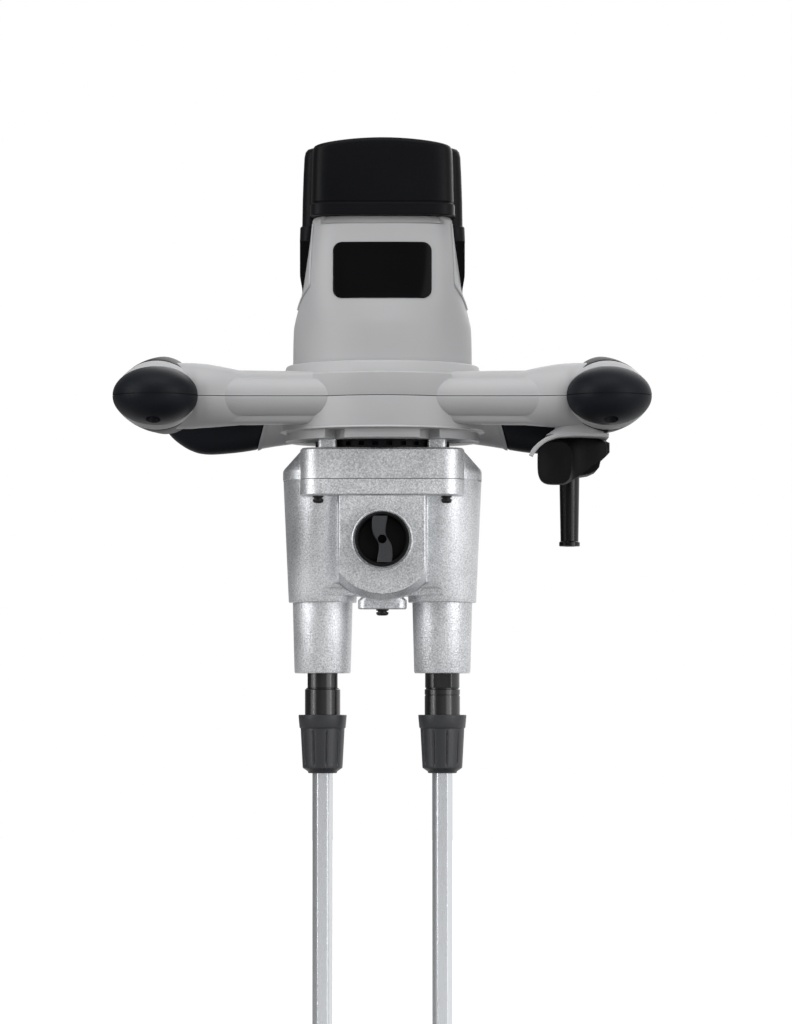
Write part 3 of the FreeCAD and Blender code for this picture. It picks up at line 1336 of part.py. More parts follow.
def build_handle():
    """Upper and lower handle shells with their rubber covers, joined by screws from below."""
    loop = right_loop(0)
    core = right_loop(s.rubber_wall)
    skin = loop.cut(core)
    guard = prism(guard_outline(-s.guard_drop, 0), UP * (s.guard_drop - s.guard_roof))
    hollow = prism(guard_outline(-s.guard_drop - s.overrun, s.guard_wall),
                   UP * (s.guard_drop + s.overrun - s.guard_ceiling))
    screws = handle_screws()
    access = [hole for head, shank, hole in screws]
    shanks = [shank for head, shank, hole in screws]
    reach = s.bar_front_x + s.ball_half_width + s.overrun
    seam = block((-reach, reach), (-reach, reach), (-s.seam_gap / 2, s.seam_gap / 2))
    covers = []
    for name, zone in rubber_zones().items():
        cover = skin.common(zone)
        covers.append(cover)
        less(f"right_{name}", cover, [seam, guard] + access + shanks)
        less(f"left_{name}", mirrored(cover), [seam] + access + shanks)
    bare = loop.cut(covers)
    loops = [bare, mirrored(bare)]

    high = s.housing_base
    upper_hub = lathe([(0, 0), (s.hub_r, 0), (s.hub_shoulder_r, s.hub_shoulder_z),
                       (s.hub_top_r, high), (0, high)])
    lower_hub = lathe([(0, 0), (s.hub_r, 0), (s.hub_r + s.hub_lip, -s.hub_rim_drop),
                       (s.hub_band_r, -s.hub_rim_drop), (s.hub_band_r, hub_bottom), (0, hub_bottom)])
    far = far_block((-reach, reach), (-reach, reach))
    above = far.common(block((-reach, reach), (-reach, reach), (0, reach)))
    below = far.cut(above)
    floor = hub_bottom + s.hub_floor
    well = upright(s.hub_bore_r, 0, 0, floor, high + s.overrun)
    throat = upright(s.neck_r - s.neck_wall, 0, 0, hub_bottom - s.overrun, floor)
    upper = upper_hub.fuse([part.common(above) for part in loops])
    less("handle_upper_shell", upper, [well] + shanks)
    notch_y = s.notch_depth - square_root(s.hub_band_r * s.hub_band_r - s.notch_offset * s.notch_offset)
    notches = []
    for x in (-s.notch_offset, s.notch_offset):
        half = s.notch_width / 2
        notches.append(block((x - half, x + half), (-s.hub_r - s.overrun, notch_y),
                             (hub_bottom - s.overrun, -s.hub_rim_drop)))
    lower = lower_hub.fuse([part.common(below) for part in loops] + [guard])
    less("handle_lower_shell", lower,
         [well, throat, hollow, trigger_pin(), switch_block()] + notches + shanks + access)
    shaped("handle_screws", Part.makeCompound([head.fuse(shank) for head, shank, hole in screws]))


def switch_block():
    """The outer form of the black switch housing behind the trigger, with a slanted outer corner."""
    low = s.block_bottom
    high = -s.guard_roof
    left = s.block_x - s.block_half_width
    right = s.block_x + s.block_half_width
    slant = s.block_chamfer
    front = s.block_front_y
    corners = [Vector(left, front, high), Vector(right, front, high), Vector(right, front, low + slant * 2),
               Vector(right - slant, front, low + slant), Vector(right - slant * 2, front, low),
               Vector(left, front, low)]
    return prism(Part.makePolygon(corners + corners[:1]), DEEP * s.block_length)


def build_switch_gear():
    """Trigger lever with its pin and spring, switch housing, switch and cord boot."""
    front = s.trigger_front_y
    top = s.trigger_top
    hook = s.trigger_hook_width
    lever = padded("trigger_blank", "YZ_Plane", [
        (front, top), (front + s.trigger_length, top),
        (front + s.trigger_length, top - s.trigger_belly * LEVER_TAIL_SHARE),
        (front + hook * 2, top - s.trigger_belly), (front + hook, top - s.trigger_belly * LEVER_NECK_SHARE),
        (front + hook / 2, top - s.trigger_hook), (front, top - s.trigger_hook),
        (front - hook * LEVER_NOSE_SHARE, top - s.trigger_belly)], s.trigger_width, (s.guard_x, 0, 0))
    pin = trigger_pin()
    half = s.trigger_width
    hole = rod_between(s.trigger_pin_r + s.running_gap, Vector(s.guard_x - half, pin_y, pin_z),
                       Vector(s.guard_x + half, pin_y, pin_z))
    spring_low = top - s.trigger_spring_sink
    seat_r = s.trigger_spring_r + s.trigger_spring_wire
    seat = upright(seat_r, s.guard_x, s.trigger_spring_y, spring_low, top + s.overrun)
    carved("trigger", lever, [hole, seat])
    shaped("trigger_pin", pin)
    shaped("trigger_spring", coil(s.guard_x, s.trigger_spring_y, spring_low, -s.guard_ceiling,
                                  s.trigger_spring_r, s.trigger_spring_wire, s.trigger_spring_turns))
    floor = s.block_bottom + s.block_wall
    inner_half = s.block_half_width - s.block_wall
    room = block((s.block_x - inner_half, s.block_x + inner_half - s.block_chamfer),
                 (s.block_front_y + s.block_wall, s.block_front_y + s.block_length - s.block_wall),
                 (floor, -s.rear_arm_drop - s.block_wall))
    exit_hole = upright(s.boot_r, s.boot_x, s.boot_y, s.block_bottom - s.overrun, floor)
    less("switch_housing", switch_block(), [right_loop(0), room, exit_hole])
    switch_right = s.block_x + inner_half - s.block_chamfer
    shaped("switch_module", block((switch_right - s.switch_width, switch_right),
                                  (s.block_front_y + s.block_wall,
                                   s.boot_y - s.boot_head_r - s.moving_gap),
                                  (floor, floor + s.switch_height)))
    tip = s.block_bottom - s.boot_length
    flange = tip + s.boot_flange_height
    head = floor + s.boot_head_height
    boot = [(s.boot_bore_r, tip), (s.boot_r, tip), (s.boot_r, flange), (s.boot_tip_r, flange),
            (s.boot_r, floor), (s.boot_head_r, floor), (s.boot_head_r, head), (s.boot_bore_r, head)]
    keep(turned("cord_boot", boot, s.boot_x, s.boot_y))


build_gear_train()
build_spindles()
build_selector()
build_gearbox()
build_chuck("left", -spindle_x, False)
build_chuck("right", spindle_x, True)
build_paddles()
build_neck()
build_motor()
build_housing()
build_cap()
build_handle()
build_switch_gear()

doc.recompute()
for item in doc.Objects:
    if "Invalid" in item.State or "Error" in item.State:
        raise RuntimeError(f"{item.Label} failed to build: {item.State}")
for piece in pieces:
    if piece.Shape.isNull() or not piece.Shape.isValid():
        raise RuntimeError(f"{piece.Label} has no valid shape")

os.makedirs("parts", exist_ok=True)
for piece in pieces:
    piece.Shape.exportStep(f"parts/{piece.Label}.step")
print(len(pieces), "pieces written")
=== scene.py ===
"""Looks of a two-paddle mixing drill: moulded head and grip, cast gearbox, chucks and stirring paddles.

A piece's lengths are in millimetres until its mesh is written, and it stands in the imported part's own frame:
+Z up along the motor axis, the speed knob towards -Y and the trigger under the +X grip.
"""

import json
import logging
import math
from dataclasses import dataclass
from enum import Enum
from typing import Callable, Sequence

import bmesh
import bpy
import numpy as np
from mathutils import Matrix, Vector


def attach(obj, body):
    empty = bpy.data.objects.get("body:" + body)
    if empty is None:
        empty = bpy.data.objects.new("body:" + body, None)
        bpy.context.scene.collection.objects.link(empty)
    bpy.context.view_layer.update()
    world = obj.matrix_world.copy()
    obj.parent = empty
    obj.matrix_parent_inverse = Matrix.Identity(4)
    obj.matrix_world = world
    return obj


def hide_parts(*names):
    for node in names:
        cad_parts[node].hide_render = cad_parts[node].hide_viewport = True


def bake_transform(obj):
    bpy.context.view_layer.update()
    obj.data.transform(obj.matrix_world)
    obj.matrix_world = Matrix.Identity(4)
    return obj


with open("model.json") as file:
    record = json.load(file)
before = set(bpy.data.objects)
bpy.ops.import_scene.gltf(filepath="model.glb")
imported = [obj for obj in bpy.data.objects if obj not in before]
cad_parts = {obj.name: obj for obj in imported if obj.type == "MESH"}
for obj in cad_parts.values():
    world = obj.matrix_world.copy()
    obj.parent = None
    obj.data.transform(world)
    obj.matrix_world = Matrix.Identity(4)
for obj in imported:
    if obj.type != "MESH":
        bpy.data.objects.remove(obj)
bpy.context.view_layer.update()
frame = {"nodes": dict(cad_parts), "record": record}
LOG = logging.getLogger("mixing_drill")
MM = 0.001
TAU = 2 * math.pi
WHITE = (1, 1, 1, 1)
Points = np.ndarray
Socket = bpy.types.NodeSocket


class Body(str, Enum):
    """The rigid bodies that pieces ride on."""

    HOUSING = "housing"
    LEFT_DRIVE = "left_drive"
    RIGHT_DRIVE = "right_drive"
    LEFT_COLLAR = "left_collar_sleeve"
    RIGHT_COLLAR = "right_collar_sleeve"
    SELECTOR = "selector"
    TRIGGER = "trigger_lever"


@dataclass(frozen=True)
class Span:
    """The reach of a piece across a joint, from its own body to another one.

    Attributes:
        body: the other body.
        start: where the piece leaves its own body, in metres.
        end: where it has come to the other body, in metres.
    """

    body: Body
    start: tuple[float, float, float]
    end: tuple[float, float, float]


class Graph:
    """Short ways to add nodes to a node tree and to join them."""

    def __init__(self, tree: bpy.types.NodeTree) -> None:
        """Takes the tree to work on."""
        self.nodes, self.links = tree.nodes, tree.links

    def feed(self, node: bpy.types.Node, inputs: dict) -> None:
        """Sets inputs of a node, each by a constant or by another node's output.

        Args:
            node: the node.
            inputs: constants and sockets, by the inputs' names or numbers.
        """
        for key, value in inputs.items():
            if isinstance(value, Socket):
                self.links.new(value, node.inputs[key])
            else:
                node.inputs[key].default_value = value

    def add(self, kind: str, inputs: dict | None = None, **options: str) -> bpy.types.Node:
        """Adds a node.

        Args:
            kind: its type, without the prefix of all shader nodes.
            inputs: constants and sockets for its inputs.
            options: its other settings.

        Returns:
            The node.
        """
        node = self.nodes.new(f"ShaderNode{kind}")
        for name, value in options.items():
            setattr(node, name, value)
        self.feed(node, inputs or {})
        return node

    def math(self, operation: str, first: Socket, second: Socket) -> Socket:
        """Joins two values by a sum, a product or the like."""
        return self.add("Math", {0: first, 1: second}, operation=operation).outputs["Value"]

    def blend(self, share: float, first: Socket, second: Socket) -> Socket:
        """Mixes two values by a fixed share of the second."""
        return self.add("Mix", {"Factor": share, "A": first, "B": second}).outputs["Result"]

    def span(self, value: Socket, source: tuple[float, float], target: tuple[float, float]) -> Socket:
        """Maps a value from one range to another, straight and clamped.

        Args:
            value: the value.
            source: the range that it comes from.
            target: the range that it goes to.

        Returns:
            The mapped value.
        """
        ends = dict(zip(("From Min", "From Max", "To Min", "To Max"), (*source, *target)))
        return self.add("MapRange", {"Value": value, **ends}).outputs["Result"]

    def rays(self) -> tuple[Socket, Socket]:
        """Factors that are one for camera and transmission rays, and for glossy rays."""
        path = self.add("LightPath").outputs
        return self.math("MAXIMUM", path["Is Camera Ray"], path["Is Transmission Ray"]), path["Is Glossy Ray"]


class Grain(Enum):
    """How a finish's fine relief is spread over the surface."""

    EVEN = "even"
    HAMMERED = "hammered"
    DRAWN = "drawn"


DRAWN_STRETCH = 0.035
BROAD_SCALE = 22.0
NOISE_RANGE = (0.3, 0.7)
# Pointiness range over which convex edges are lightened.
EDGE_LIFT_RANGE = (0.52, 0.62)
ROUGH_SPREAD = 0.14


@dataclass(frozen=True)
class Finish:
    """One surface finish, from which its node material is made.

    Attributes:
        slot: the record's material slot of the finish.
        colour: linear base colour.
        rough: mean roughness.
        metal: metallic share.
        grain: kind of fine relief.
        grain_size: width of one grain in millimetres.
        relief: strength of the relief.
        tint: how far the colour wanders, as a share.
        sheen: soft rim light of rubber, as a weight.
        edge_lift: colour share by which convex edges are lightened, found by pointiness.
        specular: level of the surface's plain reflection.
    """

    slot: str
    colour: tuple[float, float, float]
    rough: float
    metal: float = 0.0
    grain: Grain = Grain.EVEN
    grain_size: float = 0.5
    relief: float = 0.1
    tint: float = 0.08
    sheen: float = 0.0
    edge_lift: float = 0.0
    specular: float = 0.5

    def material(self) -> bpy.types.Material:
        """Makes the finish's material, or finds it when it is there already.

        Returns:
            The node material, on Object coordinates only.
        """
        name = f"finish_{self.slot}"
        found = bpy.data.materials.get(name)
        if found:
            return found
        made = bpy.data.materials.new(name)
        made.use_nodes = True
        made.diffuse_color = (*self.colour, 1.0)
        graph = Graph(made.node_tree)
        stretch = (1, 1, DRAWN_STRETCH if self.grain is Grain.DRAWN else 1)
        place = graph.add("TexCoord").outputs["Object"]
        place = graph.add("Mapping", {"Vector": place, "Scale": stretch}).outputs["Vector"]
        fine = graph.add("TexNoise", {"Vector": place, "Scale": 1 / (self.grain_size * MM), "Detail": 3.0})
        broad = graph.add("TexNoise", {"Vector": place, "Scale": BROAD_SCALE, "Detail": 4.0})
        noises = fine.outputs["Fac"], broad.outputs["Fac"]
        graph.feed(graph.nodes["Principled BSDF"], {
            "Metallic": self.metal, "Specular IOR Level": self.specular, "Sheen Weight": self.sheen,
            "Sheen Roughness": 0.45, "Base Color": self._colour(graph, *noises),
            "Roughness": self._roughness(graph, *noises), "Normal": self._relief(graph, place, noises[0])})
        return made

    def _colour(self, graph: Graph, fine: Socket, broad: Socket) -> Socket:
        """Lets the colour wander with both noises and lightens convex edges.

        Args:
            graph: the material's nodes.
            fine: the noise of single grains.
            broad: the noise of large patches.

        Returns:
            The colour.
        """
        fine_share = 0.65 if self.grain is Grain.HAMMERED else 0.35
        ramp = graph.add("ValToRGB", {"Fac": graph.blend(fine_share, broad, fine)})
        sides = zip(ramp.color_ramp.elements, (1 - self.tint, 1 + self.tint), NOISE_RANGE)
        for element, share, place in sides:
            element.color = (*(min(1.0, c * share) for c in self.colour), 1)
            element.position = place
        if not self.edge_lift:
            return ramp.outputs["Color"]
        # Convex edges, where pointiness is high, are lightened in colour by up to the edge share.
        edge = graph.add("NewGeometry").outputs["Pointiness"]
        edge_colour = (*(min(1.0, c * 1.6 + 0.006) for c in self.colour), 1)
        factor, first, second, result = 0, 6, 7, 2
        mix = graph.add("Mix", data_type="RGBA")
        graph.feed(mix, {factor: graph.span(edge, EDGE_LIFT_RANGE, (0.0, self.edge_lift)), first: ramp.outputs["Color"],
                         second: edge_colour})
        return mix.outputs[result]

    def _roughness(self, graph: Graph, fine: Socket, broad: Socket) -> Socket:
        """Spreads the roughness a little about its mean.

        Args:
            graph: the material's nodes.
            fine: the noise of single grains.
            broad: the noise of large patches.

        Returns:
            The roughness.
        """
        ends = self.rough * (1 - ROUGH_SPREAD), min(1.0, self.rough * (1 + ROUGH_SPREAD))
        return graph.span(graph.blend(0.5, broad, fine), NOISE_RANGE, ends)

    def _relief(self, graph: Graph, place: Socket, fine: Socket) -> Socket:
        """Raises the fine relief: moulded grain, hammered dimples or drawn streaks.

        Args:
            graph: the material's nodes.
            place: the place on the piece.
            fine: the noise of single grains.

        Returns:
            The bent normal.
        """
        size = self.grain_size * MM
        height = fine
        if self.grain is Grain.HAMMERED:
            cells = graph.add("TexVoronoi", {"Vector": place, "Scale": 0.8 / size}, feature="SMOOTH_F1")
            height = graph.blend(0.5, cells.outputs["Distance"], fine)
        bump = graph.add("Bump", {"Strength": self.relief, "Distance": size * 0.5, "Height": height})
        return bump.outputs["Normal"]


GRAY = Finish("gray_plastic", (0.425, 0.425, 0.433), 0.50, grain_size=0.35, relief=0.10, tint=0.035,
              edge_lift=0.25)
CAP = Finish("cap_plastic", (0.0040, 0.0042, 0.0052), 0.40, grain_size=0.55, relief=0.35, tint=0.15,
             edge_lift=0.5, specular=0.08)
LABEL = Finish("label_plate", (0.0035, 0.0035, 0.004), 0.16, grain_size=0.2, relief=0.01, tint=0.2,
               specular=0.06)
RUBBER = Finish("grip_rubber", (0.0040, 0.0048, 0.0078), 0.48, grain_size=0.4, relief=0.14, tint=0.15,
                sheen=0.015, specular=0.13)
BLACK = Finish("black_plastic", (0.0036, 0.0036, 0.0042), 0.55, grain_size=0.4, relief=0.10, tint=0.15,
               edge_lift=0.4, specular=0.10)
BOOT = Finish("boot_rubber", (0.0035, 0.0035, 0.004), 0.22, grain_size=0.3, relief=0.002, tint=0.10,
              specular=0.32)
CAST = Finish("cast_alloy", (0.64, 0.65, 0.675), 0.43, 0.80, Grain.HAMMERED, 0.95, 0.55, 0.5)
SCREW = Finish("screw_black", (0.012, 0.012, 0.013), 0.38, 0.6, grain_size=0.3, relief=0.05, edge_lift=0.5)
STEEL = Finish("steel", (0.52, 0.53, 0.55), 0.30, 1.0, Grain.DRAWN, 0.3, 0.08, 0.06)
ZINC = Finish("zinc_steel", (0.72, 0.74, 0.765), 0.28, 0.92, Grain.DRAWN, 0.45, 0.10, 0.07)
CHUCK = Finish("chuck_black", (0.0075, 0.0075, 0.008), 0.22, 0.0, Grain.DRAWN, 0.3, 0.06, 0.12, edge_lift=0.6,
               specular=0.62)
COLLAR = Finish("collar_plastic", (0.024, 0.025, 0.029), 0.42, grain_size=0.35, relief=0.10, tint=0.10,
                edge_lift=0.35)
COPPER = Finish("copper", (0.66, 0.30, 0.14), 0.34, 1.0, Grain.DRAWN, 0.3, 0.1, 0.1)
BRASS = Finish("brass", (0.66, 0.50, 0.22), 0.34, 1.0, Grain.DRAWN, 0.3, 0.08, 0.08)
CARBON = Finish("carbon", (0.03, 0.03, 0.032), 0.7, grain_size=0.3, relief=0.1, tint=0.2)
IRON = Finish("lamination", (0.20, 0.20, 0.22), 0.5, 0.8, Grain.DRAWN, 0.4, 0.15, 0.1)
FINISHES = (GRAY, CAP, LABEL, RUBBER, BLACK, BOOT, CAST, SCREW, STEEL, ZINC, CHUCK, COLLAR, COPPER, BRASS,
            CARBON, IRON)


def lerp_rows(stations: Points, count: int) -> Points:
    """Runs a smooth monotone curve through rows of station values.

    Formula: a cubic Hermite in the first column, with slopes taken as harmonic means so that nothing
    overshoots.

    Args:
        stations: (K, C) array whose first column rises.
        count: number of rows wanted.

    Returns:
        (count, C) array of rows evenly spaced in the first column.
    """
    x = stations[:, 0]
    step = np.diff(x)[:, None]
    secant = np.diff(stations, axis=0) / step
    slope = np.zeros_like(stations)
    before, after = secant[:-1], secant[1:]
    agree = before * after > 0
    total = np.where(np.abs(before + after) < 1e-12, 1.0, before + after)
    slope[1:-1] = np.where(agree, 2 * before * after / total, 0.0)
    slope[0], slope[-1] = secant[0], secant[-1]
    t = np.linspace(x[0], x[-1], count)
    cell = np.clip(np.searchsorted(x, t, side="right") - 1, 0, len(x) - 2)
    h = step[cell]
    u = ((t - x[cell])[:, None]) / h
    low, high = stations[cell], stations[cell + 1]
    return ((1 + 2 * u) * (1 - u) ** 2 * low + u * (1 - u) ** 2 * h * slope[cell]
            + u * u * (3 - 2 * u) * high + u * u * (u - 1) * h * slope[cell + 1])


def round_outline(spans: Sequence[float], radius: float, per_corner: int = 8) -> Points:
    """A rectangle with round corners, anticlockwise from the lower right corner's arc.

    Formula: each corner is a quarter circle, and the straight sides join the arcs.

    Args:
        spans: lowest x, highest x, lowest y and highest y.
        radius: corner radius.
        per_corner: points on each arc.

    Returns:
        (4 * per_corner, 2) array.
    """
    x0, x1, y0, y1 = spans
    r = min(radius, (x1 - x0) / 2 - 1e-6, (y1 - y0) / 2 - 1e-6)
    turn = np.linspace(0, math.pi / 2, per_corner)
    starts = np.array([-math.pi / 2, 0, math.pi / 2, math.pi])
    middles = np.array([[x1 - r, y0 + r], [x1 - r, y1 - r], [x0 + r, y1 - r], [x0 + r, y0 + r]])
    angle = starts[:, None] + turn[None, :]
    return (middles[:, None, :] + r * np.stack([np.cos(angle), np.sin(angle)], -1)).reshape(-1, 2)


def rows_at(rows: Points, place: Points) -> Points:
    """Rows of a table at new places of its first column, on straight lines between its own rows."""
    return np.column_stack([place] + [np.interp(place, rows[:, 0], column) for column in rows.T[1:]])


def denser(outline: Points, count: int) -> Points:
    """Adds points evenly along the sides of an outline, so that each side has a given count of them."""
    ends = np.roll(outline, -1, 0)
    return np.linspace(outline, ends, count, endpoint=False).swapaxes(0, 1).reshape(-1, 2)


def unit(vectors: Points) -> Points:
    """Vectors divided by their lengths."""
    return vectors / np.linalg.norm(vectors, axis=1, keepdims=True)


def lifted(outline: Points, z: float) -> Points:
    """Puts a flat outline at a height."""
    return np.column_stack([outline, np.full(len(outline), z)])


def mirror_x(points: Points) -> Points:
    """The same points on the other side of the tool, where x has the other sign."""
    return points * np.array([-1.0, 1.0, 1.0])


class Shell:
    """Collects grids of points and turns them into one mesh piece."""

    def __init__(self, name: str) -> None:
        """Starts an empty piece of a given name."""
        self.name = name
        self.points: list[Points] = []
        self.faces: list[Points] = []
        self.count = 0

    def _take(self, points: Points) -> int:
        """Stores points and gives the number of the first one."""
        first = self.count
        self.points.append(points.reshape(-1, 3))
        self.count += len(self.points[-1])
        return first

    def grid(self, points: Points, loop: bool = False) -> "Shell":
        """Adds a grid of quads whose last column joins the first.

        Args:
            points: (rows, columns, 3) array.
            loop: joins the last row to the first too.

        Returns:
            The shell itself.
        """
        rows, columns = points.shape[:2]
        index = self._take(points) + np.arange(rows * columns).reshape(rows, columns)
        index = np.concatenate([index, index[:, :1]], 1)
        if loop:
            index = np.concatenate([index, index[:1]], 0)
        quads = np.stack([index[:-1, :-1], index[:-1, 1:], index[1:, 1:], index[1:, :-1]], -1)
        self.faces.append(quads.reshape(-1, 4))
        return self

    def loft(self, points: Points) -> "Shell":
        """Adds a closed tube of rings, with a fan over each end.

        Args:
            points: (rings, columns, 3) array.

        Returns:
            The shell itself.
        """
        self.grid(points)
        for row in (points[0], points[-1]):
            rim = self._take(row) + np.arange(len(row))
            hub = self._take(row.mean(0)[None, :])
            self.faces.append(np.stack([rim, np.roll(rim, -1), np.full(len(rim), hub)], -1))
        return self

    def pair(self, points: Points) -> "Shell":
        """Adds a closed tube and its mirror image on the other side of the tool."""
        return self.loft(points).loft(mirror_x(points))

    def lathe(self, profile: Points, centre: Sequence[float] = (0, 0), count: int = 64,
              wave: Callable[[Points, Points], Points] | None = None) -> "Shell":
        """Spins a half profile about an upright axis.

        Formula: x = cx + r cos t, y = cy + r sin t, with r from the profile and changed by the wave.

        Args:
            profile: (K, 2) array of radius and height, closed on itself by the spin's poles or as a loop.
            centre: place of the axis.
            count: steps round the axis.
            wave: optional function of the radius grid and the angle grid that gives the radius.

        Returns:
            The shell itself.
        """
        angle = np.arange(count) * TAU / count
        radius = np.repeat(profile[:, :1], count, 1)
        turn = np.repeat(angle[None, :], len(profile), 0)
        if wave:
            radius = wave(radius, turn)
        x = centre[0] + radius * np.cos(turn)
        y = centre[1] + radius * np.sin(turn)
        z = np.repeat(profile[:, 1:2], count, 1)
        open_ends = profile[0, 0] > 1e-6 or profile[-1, 0] > 1e-6
        return self.grid(np.stack([x, y, z], -1), loop=open_ends)

    def mesh(self) -> bpy.types.Mesh:
        """Writes the mesh in metres, merged and facing outwards."""
        mesh = bpy.data.meshes.new(self.name)
        points = np.concatenate(self.points) * MM
        faces = [row for part in self.faces for row in part.tolist()]
        mesh.from_pydata(points.tolist(), [], faces)
        work = bmesh.new()
        work.from_mesh(mesh)
        bmesh.ops.remove_doubles(work, verts=work.verts, dist=2e-6)
        bmesh.ops.dissolve_degenerate(work, edges=work.edges, dist=1e-6)
        bmesh.ops.recalc_face_normals(work, faces=work.faces)
        work.to_mesh(mesh)
        work.free()
        return mesh

    def build(self, finish: Finish, body: Body, nodes: Sequence[str] = (), sharp: float = 32.0,
              span: Span | None = None) -> None:
        """Makes the piece, dresses it and sets it on its body, or bakes it in place when it spans a joint.

        Args:
            finish: its surface finish.
            body: the body it rides on.
            nodes: CAD nodes that it stands for.
            sharp: angle in degrees above which an edge stays sharp.
            span: the joint that a piece reaches across; such a piece is baked in place and set on no body.
        """
        piece = bpy.data.objects.new(self.name, self.mesh())
        bpy.context.scene.collection.objects.link(piece)
        piece.data.materials.append(finish.material())
        piece.data.polygons.foreach_set("use_smooth", np.ones(len(piece.data.polygons), bool))
        piece.data.set_sharp_from_angle(angle=math.radians(sharp))
        if span:
            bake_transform(piece)
        else:
            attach(piece, body.value)
        if nodes:
            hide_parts(*nodes)
        LOG.info("%s: %d faces", self.name, len(piece.data.polygons))


@dataclass
class Softbox:
    """One large soft lamp.

    Attributes:
        name: name of the lamp.
        turn: direction it stands in, in degrees from the camera's side, to the right.
        rise: height of that direction in degrees.
        far: distance from the grip.
        wide: width of its face.
        tall: height of its face.
        bright: brightness of its face, where 1 shows as white.
    """

    name: str
    turn: float
    rise: float
    far: float
    wide: float
    tall: float
    bright: float

    def build(self) -> None:
        """Puts up the lamp, looking at the grip."""
        turn, rise = math.radians(self.turn), math.radians(self.rise)
        level = math.cos(rise)
        place = Vector((math.sin(turn) * level, -math.cos(turn) * level, math.sin(rise))) * self.far
        data = bpy.data.lights.new(self.name, "AREA")
        data.shape = "RECTANGLE"
        data.size = self.wide
        data.size_y = self.tall
        data.energy = math.pi * self.wide * self.tall * self.bright
        lamp = bpy.data.objects.new(self.name, data)
        lamp.location = place
        lamp.rotation_euler = (-place).to_track_quat("-Z", "Y").to_euler()
        lamp.visible_camera = False
        bpy.context.scene.collection.objects.link(lamp)


